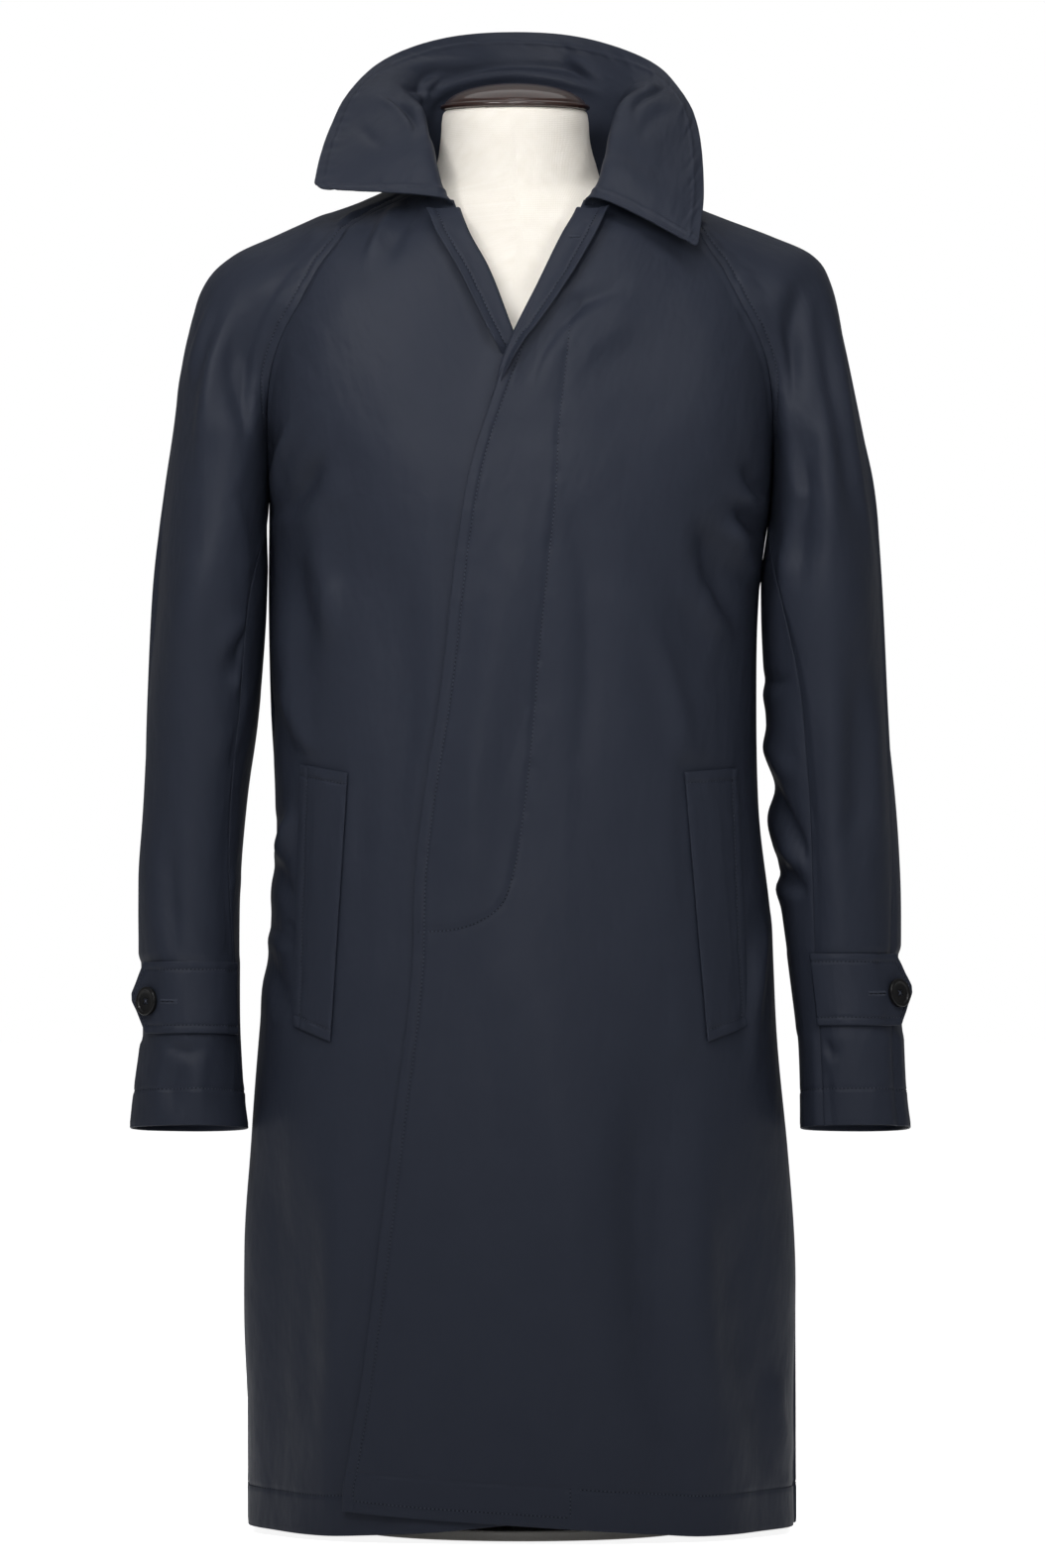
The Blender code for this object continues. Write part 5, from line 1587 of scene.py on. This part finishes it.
def turned(name, sides, profile, axis):
    """A shape turned about an upright axis: a disc extruded and resized ring by ring."""
    deselect()
    radius, height = profile[0]
    bpy.ops.mesh.primitive_circle_add(vertices=sides, radius=radius, fill_type="NGON",
                                      location=(*axis, height))
    thing = bpy.context.object
    thing.name = name
    bpy.ops.object.mode_set(mode="EDIT")
    bpy.ops.mesh.select_all(action="SELECT")
    for (narrow, low), (wide, high) in zip(profile, profile[1:]):
        bpy.ops.mesh.extrude_region_move(TRANSFORM_OT_translate={"value": (0, 0, high - low)})
        bpy.ops.transform.resize(value=(wide / narrow, wide / narrow, 1), center_override=(*axis, high))
    bpy.ops.mesh.select_all(action="SELECT")
    bpy.ops.mesh.normals_make_consistent(inside=False)
    bpy.ops.object.mode_set(mode="OBJECT")
    bpy.ops.object.transform_apply(location=True, rotation=True, scale=True)
    bpy.ops.object.shade_smooth_by_angle(angle=SHARP_ANGLE)
    return thing


def drill(disc, spot):
    """Cut a round hole through a button."""
    deselect()
    bpy.ops.mesh.primitive_cylinder_add(vertices=BUTTON_HOLE_SIDES, radius=BUTTON_HOLE,
                                        depth=4 * BUTTON_THICK, location=(*spot, 0))
    cutter = bpy.context.object
    cut = disc.modifiers.new("hole", "BOOLEAN")
    cut.object = cutter
    cut.operation = "DIFFERENCE"
    bpy.context.view_layer.objects.active = disc
    bpy.ops.object.modifier_apply(modifier="hole")
    bpy.data.objects.remove(cutter)


def rounded(radius, bevel, count):
    """Profile of a disc's lower edge, rounded from the underside to the rim."""
    turns = np.radians(np.linspace(0, 90, count))
    return [(radius - bevel * (1 - math.sin(a)), bevel * (1 - math.cos(a))) for a in turns]


def button_disc(name, corners):
    """A button at the origin: a raised rim, a dished middle and four holes."""
    inside = BUTTON_RADIUS - BUTTON_RIM
    floor = BUTTON_THICK - BUTTON_WELL
    turns = np.radians(np.linspace(0, 90, 5))
    upper = [(BUTTON_RADIUS - BUTTON_ROUND * (1 - math.cos(a)),
              BUTTON_THICK - BUTTON_ROUND * (1 - math.sin(a))) for a in turns]
    dish = [(inside - BUTTON_SLOPE * t, mix(BUTTON_THICK, floor, ease(0, 1, t)))
            for t in np.linspace(0, 1, 6)]
    middle = [(inside / 2, floor), (BUTTON_HOLE_SPREAD / 8, floor)]
    profile = rounded(BUTTON_RADIUS, BUTTON_ROUND, 5) + upper + dish + middle
    disc = turned(name, BUTTON_SIDES, profile, (0.0, 0.0))
    for quarter in corners:
        drill(disc, (BUTTON_HOLE_SPREAD * math.cos(quarter), BUTTON_HOLE_SPREAD * math.sin(quarter)))
    bpy.context.view_layer.objects.active = disc
    disc.select_set(True)
    bpy.ops.object.shade_smooth_by_angle(angle=SHARP_ANGLE)
    disc.data.materials.clear()
    return disc


def button_place(side, strap):
    """How a button is turned and moved to stand on the strap, and the way it faces."""
    size = STRAP[side]
    points, normals = strap.front_line(np.array([side * size["button_x"]]), np.array([size["z"]]))
    facing = Vector(normals[0]).normalized()
    up = (Vector((0, 0, 1)) - facing * facing.z).normalized()
    turn_to = Matrix((up.cross(facing), up, facing)).transposed().to_4x4()
    return Matrix.Translation(Vector(points[0]) + facing * BUTTON_STAND) @ turn_to, turn_to, facing


def make_button(word, side, strap, casein, thread):
    """A four-hole button, sewn to the strap with crossed thread."""
    corners = [math.radians(45 + 90 * k) for k in range(4)]
    disc = button_disc(f"cuff_button_{word}_horn", corners)
    disc.data.materials.append(casein)
    place, turn_to, facing = button_place(side, strap)
    disc.data.transform(place)
    keep(disc, f"cuff_button_{word}", slot="button")
    centre = np.array(place @ Vector((0, 0, BUTTON_THICK - BUTTON_WELL)))
    ways = [np.array(turn_to.to_3x3() @ Vector((math.cos(a), math.sin(a), 0))) for a in corners[:2]]
    keep(threads(f"cuff_button_{word}_thread", np.tile(centre, (2, 1)), np.array(ways),
                 np.tile(np.array(facing), (2, 1)), 2 * BUTTON_HOLE_SPREAD + BUTTON_HOLE,
                 BUTTON_THREAD, thread))


def make_form(canvas, wood):
    """The padded form body, closed at both ends, and its turned neck cap."""
    foot, head = FORM["z"][0], FORM["z"][-1]
    heights = places(FORM_STEPS, FORM_STEPS, FORM_ROWS, head - foot) + foot
    angles = np.arange(FORM_SIDES) * 2 * math.pi / FORM_SIDES
    columns = ("x", "y", "half", "front", "back", "power")
    level = {name: read(FORM, name, heights)[:, None] for name in columns}
    deep = np.where(np.cos(angles) > 0, level["front"], level["back"])
    across, ahead = oval(angles[None, :], level["half"], deep, level["power"])
    high = heights[:, None] + 0 * across
    rings = np.stack([across + level["x"], ahead + level["y"], high], -1)
    number = np.arange(high.size).reshape(high.shape)
    after = np.roll(number, -1, axis=1)
    faces = np.stack([number[:-1], after[:-1], after[1:], number[1:]], -1).reshape(-1, 4).tolist()
    faces += [number[0, ::-1].tolist(), number[-1].tolist()]
    girth = np.stack([run_along(rings, 1), high], -1)
    body = add_mesh("form_body_canvas", rings.reshape(-1, 3), faces, canvas, girth.reshape(-1, 2))
    keep(body, "form_body", slot="form_canvas")
    marks = np.arange(len(CAP_PROFILE["radius"]) + 0.0)
    at = np.linspace(0, marks[-1] - CAP_SHORT, CAP_ROWS)
    radius = curve(marks, CAP_PROFILE["radius"], at)
    height = curve(marks, CAP_PROFILE["height"], at) + CAP_SEAT_Z
    shape_and_keep("form_neck_cap", CAP_SIDES, list(zip(radius, height)), CAP_AXIS, wood, "form_wood")


def make_stand(steel, paint):
    """The low base and the pole that carry the form."""
    low = rounded(BASE_RADIUS, BASE_BEVEL, 6)
    high = [(radius, BASE_THICK - z) for radius, z in low[::-1]]
    shape_and_keep("form_base", STAND_SIDES, low + high, (0.0, 0.0), paint, "form_paint")
    foot = BASE_THICK + SEAM_GAP
    head = FORM["z"][0] - SEAM_GAP
    narrow = POLE_RADIUS - POLE_CHAMFER
    pole = [(narrow, foot), (POLE_RADIUS, foot + POLE_CHAMFER), (POLE_RADIUS, head - POLE_CHAMFER),
            (narrow, head)]
    shape_and_keep("form_pole", STAND_SIDES // 2, pole, (0.0, 0.0), steel, "form_steel")


def shape_and_keep(node, sides, profile, axis, material, slot):
    """Turn a piece of the stand and let it stand for its node."""
    thing = turned(f"{node}_turned", sides, profile, axis)
    thing.data.materials.append(material)
    keep(thing, node, slot=slot)


def linear(code):
    """An sRGB hex colour as linear RGBA."""
    parts = [int(code[k:k + 2], 16) / 255 for k in (1, 3, 5)]
    return (*[p / 12.92 if p <= 0.04045 else ((p + 0.055) / 1.055) ** 2.4 for p in parts], 1.0)


def add_node(material, kind, settings=None, links=None):
    """Add a node: settings name its sockets or its properties, links name sockets and their sources."""
    node = material.node_tree.nodes.new(kind)
    for name, value in (settings or {}).items():
        if isinstance(name, int) or name in node.inputs:
            node.inputs[name].default_value = value
        else:
            setattr(node, name, value)
    for name, source in (links or {}).items():
        material.node_tree.links.new(source, node.inputs[name])
    return node


def new_material(name, settings):
    """A material with one Principled BSDF, its sockets set."""
    material = bpy.data.materials.new(name)
    material.use_nodes = True
    shader = material.node_tree.nodes["Principled BSDF"]
    for socket, value in settings.items():
        shader.inputs[socket].default_value = value
    return material, shader


def dressed(material, shader, colour, bump=None):
    """The material with a colour mix, and a bump if there is one, led into its shader."""
    material.node_tree.links.new(colour.outputs[COLOUR_OUT], shader.inputs["Base Color"])
    if bump:
        material.node_tree.links.new(bump.outputs["Normal"], shader.inputs["Normal"])
    return material


def two_tones(low, high):
    """Settings of a colour mix between two hex colours, sockets by their numbers."""
    return {"data_type": "RGBA", A_SOCKET: linear(low), B_SOCKET: linear(high)}


def cotton_gabardine():
    """Tightly woven twill rainwear cotton: steep fine ribs, a low satin gloss, faint uneven dye."""
    material, shader = new_material("cotton_gabardine", {"Roughness": 0.46, "Specular IOR Level": 0.11})
    weave = add_node(material, "ShaderNodeTexCoord").outputs["UV"]
    dye = add_node(material, "ShaderNodeTexNoise", {"Scale": 1 / DYE_PATCH, "Detail": 3.0}, {"Vector": weave})
    colour = add_node(material, "ShaderNodeMix", two_tones(*CLOTH_COLOURS),
                      {FACTOR_SOCKET: dye.outputs["Fac"]})
    slant = add_node(material, "ShaderNodeMapping", {"Rotation": (0, 0, TWILL_SLANT)}, {"Vector": weave})
    ribs = add_node(material, "ShaderNodeTexWave", {"Scale": WAVE_TURN / TWILL_PITCH, "Distortion": 1.5},
                    {"Vector": slant.outputs["Vector"]})
    slub = add_node(material, "ShaderNodeTexNoise", {"Scale": 1 / SLUB_SIZE, "Detail": 2.0},
                    {"Vector": weave})
    rise = add_node(material, "ShaderNodeMath", {"operation": "ADD"},
                    {0: ribs.outputs["Fac"], 1: slub.outputs["Fac"]})
    hang = add_node(material, "ShaderNodeMapping", {"Scale": CRUMPLE_DRAWN}, {"Vector": weave})
    crumple = add_node(material, "ShaderNodeTexNoise", {"Scale": 1 / CRUMPLE_SIZE, "Detail": 2.5},
                       {"Vector": hang.outputs["Vector"]})
    soft = add_node(material, "ShaderNodeBump", {"Strength": 1.0, "Distance": CRUMPLE_RISE},
                    {"Height": crumple.outputs["Fac"]})
    bump = add_node(material, "ShaderNodeBump", {"Strength": 0.18, "Distance": TWILL_RISE},
                    {"Height": rise.outputs["Value"], "Normal": soft.outputs["Normal"]})
    return dressed(material, shader, colour, bump)


def polyester_thread():
    """Twisted sewing thread in the coat's navy, a little glossier than the cloth, and lighter: partly its own
    tone, partly a painted highlight.
    """
    material, shader = new_material("polyester_thread", {"Roughness": 0.50, "Specular IOR Level": 0.20})
    place = add_node(material, "ShaderNodeTexCoord").outputs["Object"]
    twist = add_node(material, "ShaderNodeTexNoise", {"Scale": 1 / TWIST_SIZE}, {"Vector": place})
    # Lighter than the cloth: partly the thread's own tone, partly a painted highlight so the stitches read as
    # light dots
    colour = add_node(material, "ShaderNodeMix", two_tones("#363b47", "#474c59"),
                      {FACTOR_SOCKET: twist.outputs["Fac"]})
    return dressed(material, shader, colour)


def slit_shadow():
    """Painted shade for the inside of buttonhole slits and needle holes: almost black, fibrous and dull."""
    material, shader = new_material("painted_hole_shade", {"Roughness": 0.95, "Specular IOR Level": 0.1})
    place = add_node(material, "ShaderNodeTexCoord").outputs["Object"]
    fibre = add_node(material, "ShaderNodeTexNoise", {"Scale": 1 / FIBRE_SIZE}, {"Vector": place})
    # Almost black tones: painted shade, not the cloth's own colour
    colour = add_node(material, "ShaderNodeMix", two_tones("#050608", "#0d0f14"),
                      {FACTOR_SOCKET: fibre.outputs["Fac"]})
    return dressed(material, shader, colour)


def casein_button():
    """Polished black casein: deep colour, clear gloss, faint cloudy streaks."""
    material, shader = new_material("polished_casein", {"Roughness": 0.32, "Specular IOR Level": 0.30})
    place = add_node(material, "ShaderNodeTexCoord").outputs["Object"]
    cloud = add_node(material, "ShaderNodeTexNoise", {"Scale": 1 / CLOUD_SIZE, "Distortion": 1.2},
                     {"Vector": place})
    colour = add_node(material, "ShaderNodeMix", two_tones("#0c0c0d", "#171718"),
                      {FACTOR_SOCKET: cloud.outputs["Fac"]})
    return dressed(material, shader, colour)


def linen_canvas():
    """Cream linen canvas stretched over padding: a plain weave, matt, with faint slubs."""
    material, shader = new_material("linen_canvas", {"Roughness": 0.9, "Specular IOR Level": 0.2,
                                                     "Sheen Weight": 0.08})
    weave = add_node(material, "ShaderNodeTexCoord").outputs["UV"]
    slub = add_node(material, "ShaderNodeTexNoise", {"Scale": 1 / CANVAS_SLUB, "Detail": 4.0},
                    {"Vector": weave})
    colour = add_node(material, "ShaderNodeMix", two_tones("#efe8dc", "#fbf6ee"),
                      {FACTOR_SOCKET: slub.outputs["Fac"]})
    rise = []
    for turn in (0, 90):
        way = add_node(material, "ShaderNodeMapping", {"Rotation": (0, 0, math.radians(turn))},
                       {"Vector": weave})
        yarn = add_node(material, "ShaderNodeTexWave", {"Scale": WAVE_TURN / CANVAS_PITCH, "Distortion": 0.8},
                        {"Vector": way.outputs["Vector"]})
        rise.append(yarn.outputs["Fac"])
    both = add_node(material, "ShaderNodeMath", {"operation": "MULTIPLY"}, {0: rise[0], 1: rise[1]})
    bump = add_node(material, "ShaderNodeBump", {"Strength": 0.35, "Distance": CANVAS_RISE},
                    {"Height": both.outputs["Value"]})
    return dressed(material, shader, colour, bump)


def polished_mahogany():
    """Dark red-brown mahogany under clear varnish: fine streaked grain and sharp highlights."""
    material, shader = new_material("polished_mahogany", {"Roughness": 0.34, "Coat Weight": 0.8,
                                                          "Coat Roughness": 0.10})
    place = add_node(material, "ShaderNodeTexCoord").outputs["Object"]
    drawn = add_node(material, "ShaderNodeMapping", {"Scale": GRAIN_DRAWN}, {"Vector": place})
    grain = add_node(material, "ShaderNodeTexNoise",
                     {"Scale": 1 / GRAIN_WIDTH, "Detail": 5.0, "Distortion": 0.6},
                     {"Vector": drawn.outputs["Vector"]})
    colour = add_node(material, "ShaderNodeMix", two_tones("#1d0f0b", "#37190f"),
                      {FACTOR_SOCKET: grain.outputs["Fac"]})
    bump = add_node(material, "ShaderNodeBump", {"Strength": 0.08, "Distance": GRAIN_RISE},
                    {"Height": grain.outputs["Fac"]})
    return dressed(material, shader, colour, bump)


def brushed_steel():
    """Drawn steel tube: long fine scratches up and down it."""
    material, shader = new_material("brushed_steel", {"Metallic": 1.0, "Roughness": 0.35})
    place = add_node(material, "ShaderNodeTexCoord").outputs["Object"]
    drawn = add_node(material, "ShaderNodeMapping", {"Scale": SCRATCH_DRAWN}, {"Vector": place})
    brush = add_node(material, "ShaderNodeTexNoise", {"Scale": 1 / SCRATCH_WIDTH, "Detail": 3.0},
                     {"Vector": drawn.outputs["Vector"]})
    colour = add_node(material, "ShaderNodeMix", two_tones("#8b8d90", "#b4b6b8"),
                      {FACTOR_SOCKET: brush.outputs["Fac"]})
    return dressed(material, shader, colour)


def powder_coat():
    """Off-white powder coat on a steel plate: an even satin with fine orange peel."""
    material, shader = new_material("powder_coat", {"Roughness": 0.45})
    place = add_node(material, "ShaderNodeTexCoord").outputs["Object"]
    peel = add_node(material, "ShaderNodeTexNoise", {"Scale": 1 / PEEL_SIZE}, {"Vector": place})
    colour = add_node(material, "ShaderNodeMix", two_tones("#dedbd5", "#e9e6e1"),
                      {FACTOR_SOCKET: peel.outputs["Fac"]})
    bump = add_node(material, "ShaderNodeBump", {"Strength": 0.15, "Distance": PEEL_RISE},
                    {"Height": peel.outputs["Fac"]})
    return dressed(material, shader, colour, bump)


def make_stage():
    """A wide white floor that looks evenly white, yet throws little light back up."""
    deselect()
    bpy.ops.mesh.primitive_plane_add(size=FLOOR_SIZE)
    floor = bpy.context.object
    floor.name = "paper_floor"
    paper, shader = new_material("matt_paper", {"Base Color": linear("#ffffff"), "Roughness": 0.9,
                                                "Specular IOR Level": 0.1,
                                                "Emission Color": linear("#ffffff")})
    seen = add_node(paper, "ShaderNodeLightPath").outputs["Is Camera Ray"]
    glow = add_node(paper, "ShaderNodeMix", {LOW_SOCKET: FLOOR_BOUNCE, HIGH_SOCKET: FLOOR_GLOW},
                    {FACTOR_SOCKET: seen})
    paper.node_tree.links.new(glow.outputs[0], shader.inputs["Emission Strength"])
    floor.data.materials.append(paper)


def make_light(name, place, aim, size, spread, power):
    """A large soft panel of light aimed at a point; those behind give no gloss, so no rims show in front."""
    lamp = bpy.data.lights.new(name, "AREA")
    lamp.shape = "RECTANGLE"
    lamp.size, lamp.size_y = size
    lamp.spread = math.radians(spread)
    lamp.energy = power
    thing = bpy.data.objects.new(name, lamp)
    thing.location = place
    thing.rotation_euler = (Vector(aim) - Vector(place)).to_track_quat("-Z", "Y").to_euler()
    thing.visible_glossy = place[1] < BEHIND_Y
    bpy.context.scene.collection.objects.link(thing)


def make_studio():
    """Soft front light from both sides and above, a pale surround, and the camera."""
    world = bpy.data.worlds.new("pale_surround")
    world.use_nodes = True
    background = world.node_tree.nodes["Background"]
    background.inputs["Color"].default_value = linear("#ffffff")
    seen = add_node(world, "ShaderNodeLightPath").outputs["Is Camera Ray"]
    glow = add_node(world, "ShaderNodeMix", {LOW_SOCKET: SURROUND, HIGH_SOCKET: 1.0}, {FACTOR_SOCKET: seen})
    world.node_tree.links.new(glow.outputs[0], background.inputs["Strength"])
    bpy.context.scene.world = world
    for light in LIGHTS:
        make_light(*light)
    bpy.context.scene.view_settings.view_transform = "Standard"
    camera = bpy.data.cameras.new("camera")
    camera.sensor_width = SENSOR_MM
    camera.lens = camera.sensor_width * CAMERA_AWAY / FRAME_HEIGHT
    thing = bpy.data.objects.new("camera", camera)
    thing.location = (0, -CAMERA_AWAY, CAMERA_Z)
    thing.rotation_euler = (math.pi / 2, 0, 0)
    bpy.context.scene.collection.objects.link(thing)
    bpy.context.scene.camera = thing


def main():
    """Build every piece, then the stage, lights and camera."""
    cloth = cotton_gabardine()
    thread = polyester_thread()
    dark = slit_shadow()
    make_fronts(cloth, thread)
    make_back(cloth, thread)
    make_sleeves(cloth, thread)
    make_collar(cloth, thread)
    make_facings(cloth, thread, dark)
    make_welts(cloth, thread)
    make_straps(cloth, thread, dark, casein_button())
    make_form(linen_canvas(), polished_mahogany())
    make_stand(brushed_steel(), powder_coat())
    make_stage()
    make_studio()


main()
